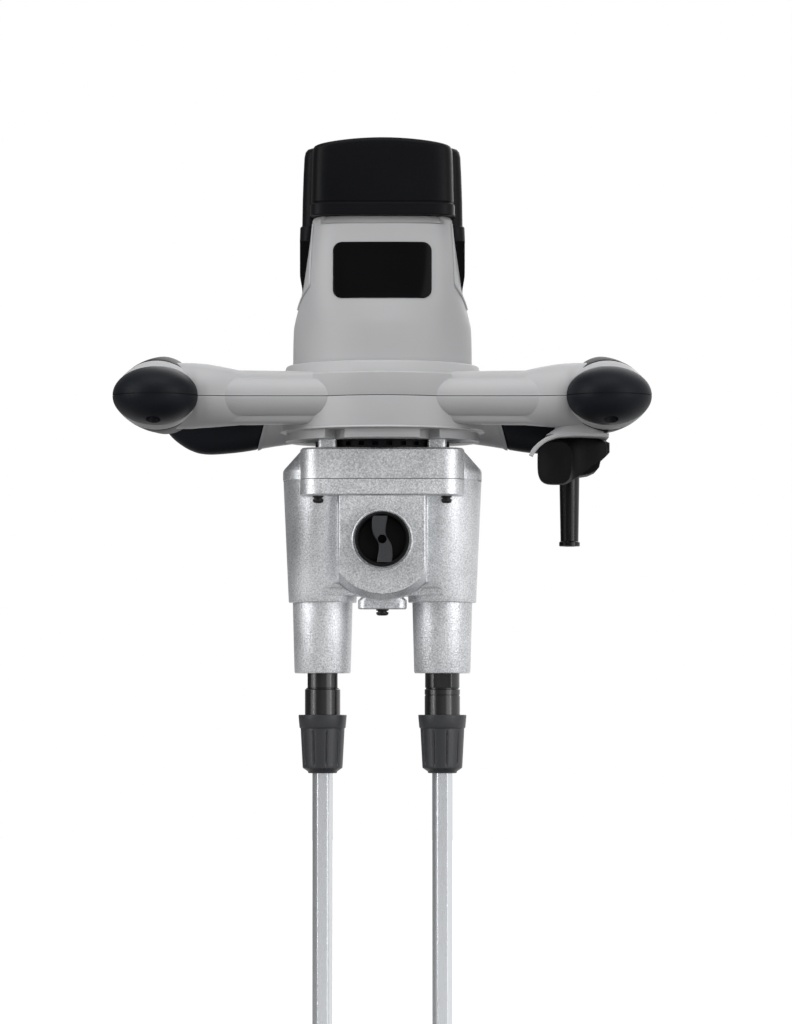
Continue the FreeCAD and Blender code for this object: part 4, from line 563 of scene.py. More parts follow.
@dataclass
class Studio:
    """Pale floor, white surround, soft lamps and a camera at the photograph's viewing angle.

    Attributes:
        lens: focal length in millimetres.
        sensor: side of the square sensor in millimetres.
        clip: longest distance that the camera sees, in metres, as are the lengths below.
        eye: place of the camera.
        aim: what it looks at.
        floor_z: height of the floor.
        floor_half: half of its side.
        floor_colour: floor's paint for the light that it throws back.
        floor_glow: floor's brightness in reflections.
        floor_shown: floor's paint as seen.
        foot_glow: floor's own brightness near the paddles.
        foot_reach: distances from the origin over which that grows to white.
        sweep: distances from the origin over which reflections of the floor grow to their brightness.
        backdrop_way: direction of the white backdrop that reflections show.
        backdrop_edge: how squarely a reflection has to face it, from none to all.
        left_shade: share of light that is left in reflections of the left side.
        shade_way: range of the direction's x over which the room falls to that share.
        shade_floor: range of x over which the floor does.
        room: brightness of the room from below to above.
        lamps: the soft lamps.
    """

    lens: float = 158.0
    sensor: float = 36.0
    clip: float = 60.0
    eye: tuple[float, float, float] = (0.0095, -3.15, -0.216)
    aim: tuple[float, float, float] = (0.0095, 0.0, -0.0775)
    floor_z: float = -0.6553
    floor_half: float = 12.0
    floor_colour: float = 0.22
    floor_glow: float = 0.90
    floor_shown: float = 0.90
    foot_glow: float = 0.05
    foot_reach: tuple[float, float] = (0.75, 2.2)
    sweep: tuple[float, float] = (0.70, 1.10)
    backdrop_way: tuple[float, float, float] = (0.92, 0.40, 0.0)
    backdrop_edge: tuple[float, float] = (0.15, 0.55)
    left_shade: float = 0.2
    shade_way: tuple[float, float] = (-0.9, -0.2)
    shade_floor: tuple[float, float] = (-1.2, -0.1)
    room: tuple[float, float] = (0.04, 0.54)
    lamps: tuple[Softbox, ...] = (
        Softbox("right_box", 44.0, 14.0, 2.6, 1.7, 2.4, 1.9),
        Softbox("left_box", -64.0, 20.0, 2.5, 1.7, 2.4, 2.7),
        Softbox("top_box", 0.0, 70.0, 2.4, 2.2, 1.6, 2.1),
        Softbox("right_strip", 55.0, 6.0, 2.4, 0.13, 2.0, 6.5),
        Softbox("left_strip", -60.0, 6.0, 2.4, 0.13, 2.0, 9.0),
        Softbox("rear_box", 165.0, 28.0, 2.6, 2.0, 2.0, 1.3),
    )

    def build(self) -> None:
        """Sets up world, floor, lamps and camera."""
        scene = bpy.context.scene
        scene.view_settings.view_transform = "Standard"
        self._world(scene)
        self._floor()
        for lamp in self.lamps:
            lamp.build()
        self._camera(scene)

    def _world(self, scene: bpy.types.Scene) -> None:
        """A white surround for camera and transmission rays, and for glossy rays where the backdrop stands.

        The light of the room grows with height: low + (high - low) * (z + 1) / 2 in the direction's z.
        Towards the left it falls to the share of the left shade.

        Args:
            scene: the scene that it surrounds.
        """
        world = bpy.data.worlds.new("studio")
        scene.world = world
        world.use_nodes = True
        graph = Graph(world.node_tree)
        way = graph.add("TexCoord").outputs["Generated"]
        parts = graph.add("SeparateXYZ", {"Vector": way}).outputs
        room = graph.span(parts["Z"], (-1.0, 1.0), self.room)
        shade = graph.span(parts["X"], self.shade_way, (self.left_shade, 1.0))
        light = graph.nodes["Background"]
        graph.feed(light, {"Color": WHITE, "Strength": graph.math("MULTIPLY", room, shade)})
        white = graph.add("Background", {"Color": WHITE, "Strength": 1.0})
        seen, glossy = graph.rays()
        facing = graph.add("VectorMath", {0: way, 1: self.backdrop_way}, operation="DOT_PRODUCT")
        backdrop = graph.span(facing.outputs["Value"], self.backdrop_edge, (0.0, 1.0))
        bright = graph.math("MAXIMUM", seen, graph.math("MULTIPLY", glossy, backdrop))
        mix = graph.add("MixShader", {"Fac": bright, 1: light.outputs["Background"],
                                      2: white.outputs["Background"]})
        graph.feed(graph.nodes["World Output"], {"Surface": mix.outputs["Shader"]})

    def _floor(self) -> None:
        """A pale floor under the paddles, which takes the object's shadow.

        Camera and transmission rays see it white, with less glow and more paint near the paddles, where the
        shadow falls. Glossy rays see it glow white at a distance from the origin; right below the object and
        towards the left that glow is cut, as painted shade in its reflections.
        """
        half = self.floor_half
        mesh = bpy.data.meshes.new("floor")
        corners = np.array([[-half, -half], [half, -half], [half, half], [-half, half]])
        mesh.from_pydata(np.column_stack([corners, np.full(4, self.floor_z)]).tolist(), [], [(0, 1, 2, 3)])
        floor = bpy.data.objects.new("floor", mesh)
        bpy.context.scene.collection.objects.link(floor)
        paint = bpy.data.materials.new("floor_paint")
        paint.use_nodes = True
        graph = Graph(paint.node_tree)
        seen, glossy = graph.rays()
        place = graph.add("NewGeometry").outputs["Position"]
        away = graph.add("VectorMath", {0: place}, operation="LENGTH").outputs["Value"]
        left = graph.add("SeparateXYZ", {"Vector": place}).outputs["X"]
        # Painted shade in reflections: the floor's glow for glossy rays fades out right below the object and
        # towards the left.
        sweep = graph.span(away, self.sweep, (0.0, 1.0))
        shade = graph.span(left, self.shade_floor, (self.left_shade, 1.0))
        mirrored = graph.math("MULTIPLY", glossy, graph.math("MULTIPLY", sweep, shade))
        shown = graph.math("MULTIPLY", seen, graph.span(away, self.foot_reach, (self.foot_glow, 1.0)))
        glow = graph.math("MAXIMUM", shown, graph.span(mirrored, (0.0, 1.0), (0.0, self.floor_glow)))
        graph.feed(graph.nodes["Principled BSDF"], {
            "Roughness": 0.8, "Specular IOR Level": 0.0, "Emission Color": WHITE, "Emission Strength": glow,
            "Base Color": graph.span(seen, (0.0, 1.0), (self.floor_colour, self.floor_shown))})
        mesh.materials.append(paint)

    def _camera(self, scene: bpy.types.Scene) -> None:
        """The camera, a little below the grip and looking slightly up.

        Args:
            scene: the scene that it films.
        """
        data = bpy.data.cameras.new("camera")
        data.sensor_fit = "VERTICAL"
        data.sensor_width = self.sensor
        data.sensor_height = self.sensor
        data.lens = self.lens
        data.clip_end = self.clip
        camera = bpy.data.objects.new("camera", data)
        scene.collection.objects.link(camera)
        camera.location = self.eye
        camera.rotation_euler = (Vector(self.aim) - Vector(self.eye)).to_track_quat("-Z", "Y").to_euler()
        scene.camera = camera


def dress_frame() -> None:
    """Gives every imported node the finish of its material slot."""
    finishes = {finish.slot: finish for finish in FINISHES}
    for row in frame["record"]["subparts"]:
        node = frame["nodes"][row["node"]]
        node.data.materials.clear()
        node.data.materials.append(finishes[row["material_slot"]].material())


def squircle(half_x: Points, half_y: Points, power: float | Points, count: int) -> Points:
    """Rings of a rounded box in plan.

    Formula: r(t) = (|cos t / a| ** p + |sin t / b| ** p) ** (-1 / p), so p = 2 is an ellipse and more is
    boxier.

    Args:
        half_x: (M,) half widths.
        half_y: (M,) half depths.
        power: the exponent p, or one for each ring.
        count: points round each ring.

    Returns:
        (M, count, 2) array.
    """
    turn = np.arange(count) * TAU / count
    power = np.broadcast_to(np.asarray(power, float), np.shape(half_x))[:, None]
    across = np.abs(np.cos(turn)) / np.asarray(half_x, float)[:, None]
    deep = np.abs(np.sin(turn)) / np.asarray(half_y, float)[:, None]
    radius = (across ** power + deep ** power) ** (-1 / power)
    return np.stack([radius * np.cos(turn), radius * np.sin(turn)], -1)


def ease(values: Points, low: float, high: float) -> Points:
    """A smooth step from 0 at low to 1 at high."""
    share = np.clip((values - low) / (high - low), 0, 1)
    return share * share * (3 - 2 * share)


def tube(path: Points, radius: float, sides: int) -> Points:
    """Rings of a round bar along a path.

    Formula: each ring is a circle in the plane across the path's tangent, with the other two directions
    taken from a fixed reference so that the rings don't twist.

    Args:
        path: (M, 3) points.
        radius: radius of the bar.
        sides: points round each ring.

    Returns:
        (M, sides, 3) array.
    """
    run = unit(np.gradient(path, axis=0))
    reference = np.eye(3)[int(np.argmin(np.abs(run).mean(0)))]
    first = unit(np.cross(run, reference))
    second = np.cross(run, first)
    turn = np.arange(sides) * TAU / sides
    cos, sin = (wave(turn)[None, :, None] for wave in (np.cos, np.sin))
    return path[:, None, :] + radius * (cos * first[:, None, :] + sin * second[:, None, :])


@dataclass
class MotorHead:
    """Black cap, gray motor housing and blank plates above the grip.

    Attributes:
        columns: points round the housing and the cap.
        rim_z: top of the gray housing.
        recess_z: foot of the recess under the cap.
        recess_half: half width of that recess.
        recess_deep: its depth.
        bead_span: heights of the beads round the side windows.
        bead_radius: radius of a bead.
        crown: height of the cap's edge.
        crown_rise: how far the cap's middle stands above its edge.
        dome: how far the cap falls towards its sides.
        dome_foot: height above which it does.
        dome_half: half width at which it has fallen that far.
        cap_floor: height of the cap's closed floor.
        cap_power: boxiness of the cap.
        lobe_half: half depth of the side lobes.
        lobe_round: corner radius of the side lobes.
        plate: half width, foot, top and corner radius of the front plate.
        window: corners of a side plate in y and z.
    """

    columns: int = 176
    rim_z: float = 126.0
    recess_z: float = 120.6
    recess_half: float = 41.0
    recess_deep: float = 4.0
    bead_span: tuple[float, float] = (121.5, 63.0)
    bead_radius: float = 1.05
    crown: float = 180.8
    crown_rise: float = 1.2
    dome: float = 5.0
    dome_foot: float = 150.0
    dome_half: float = 47.0
    cap_floor: float = 127.0
    cap_power: float = 9.0
    lobe_half: float = 26.5
    lobe_round: float = 8.5
    plate: tuple[float, float, float, float] = (34.2, 68.0, 107.4, 6.2)
    window: tuple[tuple[float, float], ...] = ((-25.6, 110.4), (25.6, 110.4), (22.5, 86.0), (-22.8, 74.0))

    def housing_rows(self) -> Points:
        """Rows of height, half width, half depth and boxiness of the gray housing."""
        stations = np.array([[24.4, 62.3, 61.3, 2.15], [25.0, 62.7, 61.7, 2.15], [38.0, 62.6, 61.4, 2.2],
                             [50.0, 62.2, 60.6, 2.3], [57.0, 60.9, 59.3, 2.5], [64.0, 59.0, 57.8, 2.8],
                             [72.0, 57.0, 56.0, 3.2], [90.0, 54.0, 53.8, 3.8], [110.0, 51.0, 51.8, 4.3],
                             [121.0, 49.6, 50.9, 4.5], [125.4, 49.0, 50.5, 4.5],
                             [self.rim_z, 48.4, 49.9, 4.5]])
        return lerp_rows(stations, 70)

    def size_at(self, z: Points) -> list[Points]:
        """Half width, half depth and boxiness of the housing at given heights."""
        rows = self.housing_rows()
        return [np.interp(z, rows[:, 0], column) for column in rows.T[1:]]

    def front_y(self, x: Points, z: Points) -> Points:
        """The depth of the housing's front face at given places, from the ring formula solved for y."""
        half_x, half_y, power = self.size_at(z)
        return -half_y * (1 - np.clip(np.abs(x) / half_x, 0, 0.999) ** power) ** (1 / power)

    def build_housing(self) -> None:
        """The gray housing with the recess under the cap and the bead round its side windows.

        Formula: a bead's depth is a share of the half depth that grows downwards and then flares in, and its
        place across is the ring formula solved for x.
        """
        rows = self.housing_rows()
        rings = squircle(rows[:, 1], rows[:, 2], rows[:, 3], self.columns)
        z = np.repeat(rows[:, :1], self.columns, 1)
        recess = ease(-np.abs(rings[..., 0]), -self.recess_half - 4 * ease(self.rim_z - z, 0, 5),
                      1.0 - self.recess_half)
        recess *= ease(z, self.recess_z, self.recess_z + 1.0) * (rings[..., 1] < 0)
        rings[..., 1] += self.recess_deep * recess
        shell = Shell("motor_housing_shell").loft(np.concatenate([rings, z[..., None]], -1))
        top, low = self.bead_span
        height = np.linspace(top, low, 60)
        half_x, half_y, power = self.size_at(height)
        deep = (0.66 + 0.05 * ease(top - height, 0, 40) - 0.45 * ease(80 - height, 0, 17)) * half_y
        wide = half_x * (1 - (deep / half_y) ** power) ** (1 / power) + 0.1
        for face in (1, -1):
            shell.pair(tube(np.column_stack([wide, face * deep, height]), self.bead_radius, 8))
        shell.build(GRAY, Body.HOUSING, ["motor_housing"], sharp=38)

    def build_cap(self) -> None:
        """The domed cap: a front and back panel over two lower side lobes, with a proud band at its foot.

        Formula: rounded boxes in plan on rising levels, and the roof falls by dome * (x / half) ** 2.
        """
        stations = np.array([[126.3, 48.0, 49.6], [126.3, 50.2, 51.7], [126.9, 50.8, 52.3],
                             [134.2, 50.6, 52.1], [134.7, 50.2, 51.7], [135.1, 49.5, 51.0],
                             [135.6, 49.4, 50.9], [136.2, 49.9, 51.3], [145.0, 49.7, 51.0],
                             [156.0, 49.5, 50.5], [166.0, 49.3, 49.9], [174.0, 49.1, 49.3],
                             [177.8, 48.9, 48.9], [179.4, 48.5, 48.4], [180.4, 47.8, 47.6],
                             [180.8, 46.8, 46.4]])
        rings = squircle(stations[:, 1], stations[:, 2], self.cap_power, self.columns)
        z = np.repeat(stations[:, :1], self.columns, 1)
        shrink = np.linspace(0.94, 0.0, 14)
        inner = rings[-1][None] * shrink[:, None, None]
        rings = np.concatenate([np.zeros((1, self.columns, 2)), rings, inner])
        roof = self.crown + self.crown_rise * (1 - shrink ** 2)
        floor = np.full((1, self.columns), self.cap_floor)
        z = np.concatenate([floor, z, np.repeat(roof[:, None], self.columns, 1)])
        z = z - self.dome * ease(z, self.dome_foot, self.crown) * (rings[..., 0] / self.dome_half) ** 2
        shell = Shell("motor_cap").grid(np.concatenate([rings, z[..., None]], -1))
        lobes = np.array([[110.2, 54.0, 0], [110.2, 57.0, 0], [110.7, 57.8, 0], [120.4, 57.5, 0],
                          [121.0, 57.1, 0], [121.5, 56.3, 0], [122.2, 56.1, 0], [140.0, 55.8, 0.2],
                          [158.0, 55.2, 0.5], [170.0, 54.6, 0.8], [173.6, 53.8, 1.2], [175.6, 52.3, 2.2],
                          [176.6, 49.8, 4.0], [176.9, 46.0, 7.0]])
        shell.loft(np.stack([lifted(round_outline((-half, half, trim - self.lobe_half, self.lobe_half - trim),
                                                  self.lobe_round, 9), z) for z, half, trim in lobes]))
        shell.build(CAP, Body.HOUSING, ["top_cap"], sharp=34)

    def build_plates(self) -> None:
        """The glossy blank plate on the front and the blank black plates in the side windows.

        Formula: outlines that shrink towards their middle, the front one laid on the housing's front face.
        """
        half, low, high, corner = self.plate
        middle = (low + high) / 2
        dense = denser(round_outline((-half, half, low, high), corner, 10), 6)
        shares = np.concatenate([[1.0, 1.0, 0.992, 0.98], np.linspace(0.94, 0.0, 16)])
        proud = np.concatenate([[-1.0, 0.35, 0.62, 0.7], np.full(16, 0.7)])
        x = dense[None, :, 0] * shares[:, None]
        z = middle + (dense[None, :, 1] - middle) * shares[:, None]
        y = self.front_y(x, z) - proud[:, None]
        shell = Shell("front_plate_blank").grid(np.stack([x, y, z], -1))
        shell.build(LABEL, Body.HOUSING, ["front_plate"], 40)
        for name, side in (("right", 1), ("left", -1)):
            edge = denser(np.array(self.window), 12)
            heart = edge.mean(0)
            sunk = 1.9 * ease(-edge[:, 1], -88.0, -73.0)
            rings = [np.column_stack([side * (far - sunk * share), heart + (edge - heart) * share])
                     for far, share in ((44.0, 1.0), (57.2, 1.0), (57.55, 0.985), (57.6, 0.95), (57.7, 0.5))]
            shell = Shell(f"{name}_side_plate_blank").loft(np.stack(rings))
            shell.build(LABEL, Body.HOUSING, [f"{name}_side_plate"], 30)

    def build(self) -> None:
        """Builds the whole head."""
        self.build_housing()
        self.build_cap()
        self.build_plates()


class Half(Enum):
    """The two handle shells; the value is the side of the parting plane."""

    UPPER = 1
    LOWER = -1

    @property
    def column(self) -> int:
        """Column of a row table that holds this half's height."""
        return 3 if self is Half.UPPER else 4


def half_ring(centre: Points, wide: Points, tall: Points, power: float, sign: int, seam: float,
              inset: Points) -> tuple[Points, Points]:
    """Half sections on one side of the parting plane, each closed along that plane.

    Formula: the half of a rounded box, |u / wide| ** p + |v / tall| ** p = 1 with v >= 0, moved off the
    plane by the seam and drawn in towards the middle by the inset.

    Args:
        centre: (M,) middles of the sections.
        wide: (M,) half widths.
        tall: (M,) heights above or below the parting plane.
        power: boxiness p.
        sign: 1 above the plane, -1 below.
        seam: half of the parting gap.
        inset: (M, count) how far each point is drawn in.

    Returns:
        (M, count) places across and (M, count) heights.
    """
    turn = np.linspace(0, math.pi, inset.shape[1])
    across = np.abs(np.cos(turn)) / np.maximum(wide, 1e-3)[:, None]
    high = np.abs(np.sin(turn)) / np.maximum(tall, 1e-3)[:, None]
    radius = np.maximum((across ** power + high ** power) ** (-1 / power) - inset, 1e-4)
    return centre[:, None] + radius * np.cos(turn), sign * (seam + radius * np.sin(turn))


@dataclass
class Grip:
    """Looped two-handed grip in two shells, with rubber over its balls, bars and rear arms.

    Attributes:
        seam: half of the parting gap between the shells.
        arc: points on a half section.
        power: boxiness of the bars.
        nose_y: where a bar's round front end starts.
        nose_length: length of that end.
        tail_y: where its round rear end starts.
        tail_length: length of that end.
        rubber_round: edge rounding of the rubber covers.
        rubber_proud: how far they stand out of the shells.
        front_zone: lowest and highest y of the front caps.
        side_zone: the same of the side grips.
        rear_zone: the same of the rear caps.
        arm_zone: lowest and highest x of the right rear arm's grip.
        arm_slant: lean of the rear arms' sections in x for each millimetre of height.
        arm_slant_z: height at which the lean is nil.
        panel_round: radius of the front arms' bulged panel.
        panel_half: half height of that panel.
        sleeve_tall: heights of the front arms above and below the parting plane.
        access_place: x and y of the screw access hole in the right front cap.
        access_radius: radius of that hole.
        access_depth: its depth.
        hub_columns: points round the hub.
        notch_x: distance of the hub's two notches from the middle.
        notch_half: half width of a notch.
        notch_deep: its depth.
        notch_band: radii of the hub's band that it cuts.
        lip_span: front and rear end of the fender's lip in y.
        tongue_inset: how far the tongue stays behind the shells' outline.
        tongue_half: half of its thickness.
    """

    seam: float = 0.24
    arc: int = 61
    power: float = 2.0
    nose_y: float = -61.0
    nose_length: float = 29.2
    tail_y: float = 50.0
    tail_length: float = 17.2
    rubber_round: float = 1.7
    rubber_proud: float = 0.12
    front_zone: tuple[float, float] = (-95.0, -61.0)
    side_zone: tuple[float, float] = (-53.5, 6.0)
    rear_zone: tuple[float, float] = (50.0, 75.0)
    arm_zone: tuple[float, float] = (83.0, 175.0)
    arm_slant: float = 0.28
    arm_slant_z: float = -10.0
    panel_round: float = 15.4
    panel_half: float = 12.5
    sleeve_tall: tuple[float, float] = (18.3, 18.9)
    access_place: tuple[float, float] = (157.0, -75.5)
    access_radius: float = 5.0
    access_depth: float = 4.5
    hub_columns: int = 240
    notch_x: float = 33.0
    notch_half: float = 5.6
    notch_deep: float = 11.0
    notch_band: tuple[float, float] = (66.0, 69.5)
    lip_span: tuple[float, float] = (-54.0, 27.0)
    tongue_inset: float = 1.3
    tongue_half: float = 0.5

    def bar_rows(self) -> Points:
        """Rows of y, middle, half width, rise and drop of the right side bar, with round ends."""
        stations = np.array([[-61.0, 156.2, 29.4, 19.9, 20.0], [-57.0, 156.0, 28.8, 22.6, 21.8],
                             [-52.0, 155.6, 27.4, 25.2, 23.0], [-40.0, 153.8, 24.0, 27.9, 24.0],
                             [-28.0, 151.8, 21.2, 29.2, 24.0], [-5.1, 149.1, 18.6, 29.8, 22.0],
                             [12.0, 147.2, 17.8, 28.6, 18.0], [26.0, 145.6, 17.4, 26.0, 15.6],
                             [40.0, 143.6, 17.0, 22.0, 15.4], [50.0, 142.2, 16.6, 19.0, 15.4]])
        middle = lerp_rows(stations, 70)
        turn = np.linspace(math.pi / 2, 0, 40)[:-1, None]
        nose = np.repeat(middle[:1], len(turn), 0)
        nose[:, 0] = self.nose_y - self.nose_length * np.sin(turn[:, 0])
        nose[:, 2:] *= np.cos(turn)
        tail = np.repeat(middle[-1:], len(turn), 0)
        tail[:, 0] = self.tail_y + self.tail_length * np.sin(turn[::-1, 0])
        tail[:, 2:] *= np.cos(turn[::-1])
        return np.concatenate([nose, middle, tail])

    def rear_rows(self) -> Points:
        """Rows of x, middle, half depth, rise and drop of the right rear arm."""
        stations = np.array([[35.0, 44.0, 15.0, 8.1, 23.8], [68.6, 45.6, 15.0, 8.1, 28.2],
                             [100.0, 49.4, 15.0, 8.2, 33.0], [116.0, 51.2, 14.9, 8.8, 34.0],
                             [123.0, 51.6, 14.8, 9.0, 33.4], [131.0, 51.8, 14.6, 9.0, 31.0],
                             [139.0, 51.6, 14.0, 8.8, 27.0], [147.0, 51.0, 12.4, 8.0, 21.6],
                             [153.0, 50.2, 9.8, 6.8, 15.6], [156.8, 49.6, 6.4, 4.8, 9.6],
                             [158.4, 49.0, 2.0, 1.6, 3.6]])
        return lerp_rows(stations, 70)

    def sleeve_rows(self) -> Points:
        """Rows of x, middle, half depth and height share of the straight part of the right front arm."""
        stations = np.array([[30.0, -42.8, 17.4, 0.97], [64.0, -43.2, 17.4, 0.98], [99.0, -43.6, 17.4, 1.0],
                             [112.0, -43.8, 17.4, 1.0]])
        return lerp_rows(stations, 24)

    def flare_rows(self) -> Points:
        """Rows of x, middle, half depth, rise and drop where the front arm opens into the bar."""
        stations = np.array([[94.0, -43.5, 11.6, 16.6, 17.0], [99.0, -43.5, 13.8, 18.5, 19.0],
                             [104.0, -43.5, 15.9, 19.6, 19.4], [108.2, -43.5, 17.6, 20.5, 19.7],
                             [116.0, -43.5, 20.2, 22.0, 20.3], [122.0, -43.0, 21.8, 22.9, 20.7],
                             [127.0, -42.5, 22.0, 23.4, 21.0], [134.0, -41.0, 20.8, 23.8, 21.4],
                             [145.0, -40.0, 19.8, 24.0, 21.4]])
        return lerp_rows(stations, 48)

    @staticmethod
    def resample(rows: Points, marks: Sequence[float], reach: float) -> Points:
        """Adds rows near given marks, so that an edge there stays crisp."""
        near = np.array([-0.02, 0.02, 0.12, 0.45, 1.0, 1.0 + reach])
        steps = np.concatenate([mark + near * side for mark in marks for side in (1, -1)])
        steps = np.clip(steps, rows[0, 0], rows[-1, 0])
        return rows_at(rows, np.unique(np.concatenate([rows[:, 0], steps])))

    def bar(self, half: Half, rows: Points, inset: Points) -> Points:
        """Half sections of the right bar: a half ring in x and z at each y.

        Args:
            half: upper or lower half.
            rows: rows of y, middle, half width, rise and drop.
            inset: how far each point of each row is drawn in.

        Returns:
            (rows, points, 3) sections.
        """
        tall = rows[:, half.column]
        x, z = half_ring(rows[:, 1], rows[:, 2], tall, self.power, half.value, self.seam, inset)
        return np.stack([x, np.repeat(rows[:, :1], inset.shape[1], 1), z], -1)

    def arm(self, half: Half, rows: Points, inset: Points, power: float = 2.5, slant: float = 0.0) -> Points:
        """Half sections of a right arm: a half ring in y and z at each x, leaned by the slant.

        Args:
            half: upper or lower half.
            rows: rows of x, middle, half depth, rise and drop.
            inset: how far each row is drawn in.
            power: boxiness of the sections.
            slant: how far a section leans in x for each millimetre of height.

        Returns:
            (rows, points, 3) sections.
        """
        tall = rows[:, half.column]
        y, z = half_ring(rows[:, 1], rows[:, 2], tall, power, half.value, self.seam, self.wide(inset))
        return np.stack([rows[:, :1] - slant * (z - self.arm_slant_z), y, z], -1)

    def wide(self, inset: Points) -> Points:
        """The same inset for all points of each row."""
        return np.repeat(inset[:, None], self.arc, 1)

    def cover_inset(self, place: Points, zone: tuple[float, float]) -> Points:
        """How far a cover is drawn in near its ends: a quarter circle over the rubber's rounding."""
        edge = np.minimum(place - zone[0], zone[1] - place)
        share = np.clip(1 - edge / self.rubber_round, 0, 1)
        return self.rubber_round * (1 - np.sqrt(1 - share * share)) - self.rubber_proud

    def sleeve(self, half: Half) -> Points:
        """The straight arm: a bulged middle panel, a step and a slanted band, round at the back.

        Formula: the panel is an arc, and the rest a table of shares of the half depth and the height.

        Args:
            half: upper or lower half.

        Returns:
            (rows, points, 3) sections.
        """
        rows = self.sleeve_rows()
        rise = np.linspace(0, 1, 14)
        bulge = self.panel_round - np.sqrt(self.panel_round ** 2 - (self.panel_half * rise) ** 2)
        panel = np.column_stack([1.0 - bulge / rows[0, 2], 0.685 * rise])
        band = np.array([[0.574, 0.694], [0.548, 0.76], [0.51, 0.85], [0.455, 0.925], [0.36, 0.97],
                         [0.22, 0.997], [0.0, 1.005], [-0.3, 0.98], [-0.62, 0.88], [-0.86, 0.66],
                         [-0.98, 0.36], [-1.0, 0.0]])
        section = np.concatenate([panel, band])
        tall = self.sleeve_tall[half is Half.LOWER]
        x = np.repeat(rows[:, :1], len(section), 1)
        y = rows[:, 1:2] - rows[:, 2:3] * section[None, :, 0]
        z = half.value * (self.seam + tall * rows[:, 3:4] * section[None, :, 1])
        return np.stack([x, y, z], -1)

    def hub(self, half: Half, shell: Shell) -> None:
        """The round hub, turned about the motor's axis: a cone above, a lipped band with two notches below.

        Args:
            half: upper or lower half.
            shell: the piece that takes the hub.
        """
        if half is Half.UPPER:
            profile = np.array([[44.0, self.seam], [70.9, self.seam], [71.0, 0.5], [70.7, 15.6],
                                [70.3, 16.1], [69.5, 16.5], [67.6, 23.4], [67.0, 24.1], [66.2, 24.4],
                                [44.0, 24.4]])
            shell.lathe(profile, count=self.hub_columns)
            return
        profile = np.array([[44.0, -self.seam], [70.9, -self.seam], [71.0, -0.6], [71.0, -20.6],
                            [71.5, -21.3], [71.8, -21.6], [71.7, -22.0], [70.9, -22.2], [67.9, -22.3],
                            [67.4, -22.7], [67.6, -27.9], [68.0, -28.1], [68.0, -28.5], [67.4, -28.7],
                            [39.2, -28.7], [39.2, -24.0], [44.0, -22.0]])

        def notched(radius: Points, turn: Points) -> Points:
            """Cuts two square notches into the lower band at the front."""
            aside = np.abs(np.abs(radius * np.cos(turn)) - self.notch_x) < self.notch_half
            low, high = self.notch_band
            inside = aside & (np.sin(turn) < 0) & (radius > low) & (radius < high)
            return np.where(inside, radius - self.notch_deep, radius)

        shell.lathe(profile, count=self.hub_columns, wave=notched)
        rib = np.array([[47, -0.3], [66, -0.3], [66, 0.3], [47, 0.3]])
        shell.pair(np.stack([lifted(rib, -28.0), lifted(rib, -28.95)]))

    def build_shell(self, half: Half) -> None:
        """One gray handle shell: the hub, and half sections along both loops, drawn in under the covers.

        Args:
            half: upper or lower half.
        """
        shell = Shell(f"grip_{half.name.lower()}_shell")
        self.hub(half, shell)
        marks = [self.front_zone[1], self.side_zone[0], self.side_zone[1], self.rear_zone[0]]
        rows = self.resample(self.bar_rows(), marks, 2.0)
        y = rows[:, 0]
        hidden = (y < marks[0]) | ((y > marks[1]) & (y < marks[2])) | (y > marks[3])
        inner = ease(-np.cos(np.linspace(0, math.pi, self.arc)), -0.1, 0.35)
        sunk = np.where(y < marks[0] - 2.0, self.access_depth + 3.0, 1.5)
        rim = np.where((y > marks[0]) & (y < marks[0] + 1.4), -0.6, 0.0)
        loops = [self.bar(half, rows, np.where(hidden[:, None], sunk[:, None], rim[:, None] * inner))]
        arm_rows = self.resample(self.rear_rows(), self.arm_zone, 2.0)
        x = arm_rows[:, 0]
        covered = (x > self.arm_zone[0]) & (x < self.arm_zone[1])
        lip = np.where((x > self.arm_zone[0] - 1.6) & (x < self.arm_zone[0]), -0.8, 0.0)
        loops.append(self.arm(half, arm_rows, np.where(covered, 1.5, lip), slant=self.arm_slant))
        loops.append(self.sleeve(half))
        flare = self.flare_rows()
        loops.append(self.arm(half, flare, np.zeros(len(flare)), power=2.1))
        for loop in loops:
            shell.pair(loop)
        if half is Half.LOWER:
            self.guard(shell)
        shell.build(GRAY, Body.HOUSING, [f"handle_{half.name.lower()}_shell"], sharp=30)

    def guard(self, shell: Shell) -> None:
        """The fender over the trigger: a concave skirt below the right bar and a curved lip.

        The lip is a flat rounded section in y and thickness, carried along its path on the path's normals.

        Args:
            shell: the piece that takes the fender.
        """
        levels = np.array([[-13.0, 0.0], [-18.0, 0.4], [-20.5, 1.6], [-22.6, 3.6], [-24.4, 6.2],
                           [-26.0, 8.4]])
        rings = []
        for z, grow in levels:
            spans = (122.0 - grow, 153.0 + grow * 0.1, -50.0 - grow * 0.4, 24.0)
            rings.append(lifted(round_outline(spans, 9.0, 10), z))
        shell.loft(np.stack(rings))
        stations = np.array([[0.0, 156.4, -27.0], [0.18, 149.0, -26.4], [0.4, 136.0, -26.2],
                             [0.6, 123.0, -26.8], [0.74, 114.5, -29.2], [0.86, 108.4, -33.2],
                             [0.95, 104.4, -37.6], [1.0, 102.8, -40.6]])
        path = lerp_rows(stations, 60)[:, 1:]
        along = unit(np.gradient(path, axis=0))
        normal = np.stack([along[:, 1], -along[:, 0]], -1)
        front, rear = self.lip_span
        section = round_outline((front, rear, -1.5, 1.5), 1.2, 5)
        reach = np.interp(np.arange(60), [0, 1.5, 24, 58, 59], [0.985, 1.0, 1.0, 0.17, 0.165])[:, None]
        depth = (section[:, 0] - front) * reach + front
        points = path[:, None] + normal[:, None] * section[None, :, 1:]
        shell.loft(np.stack([points[..., 0], depth, points[..., 1]], -1))

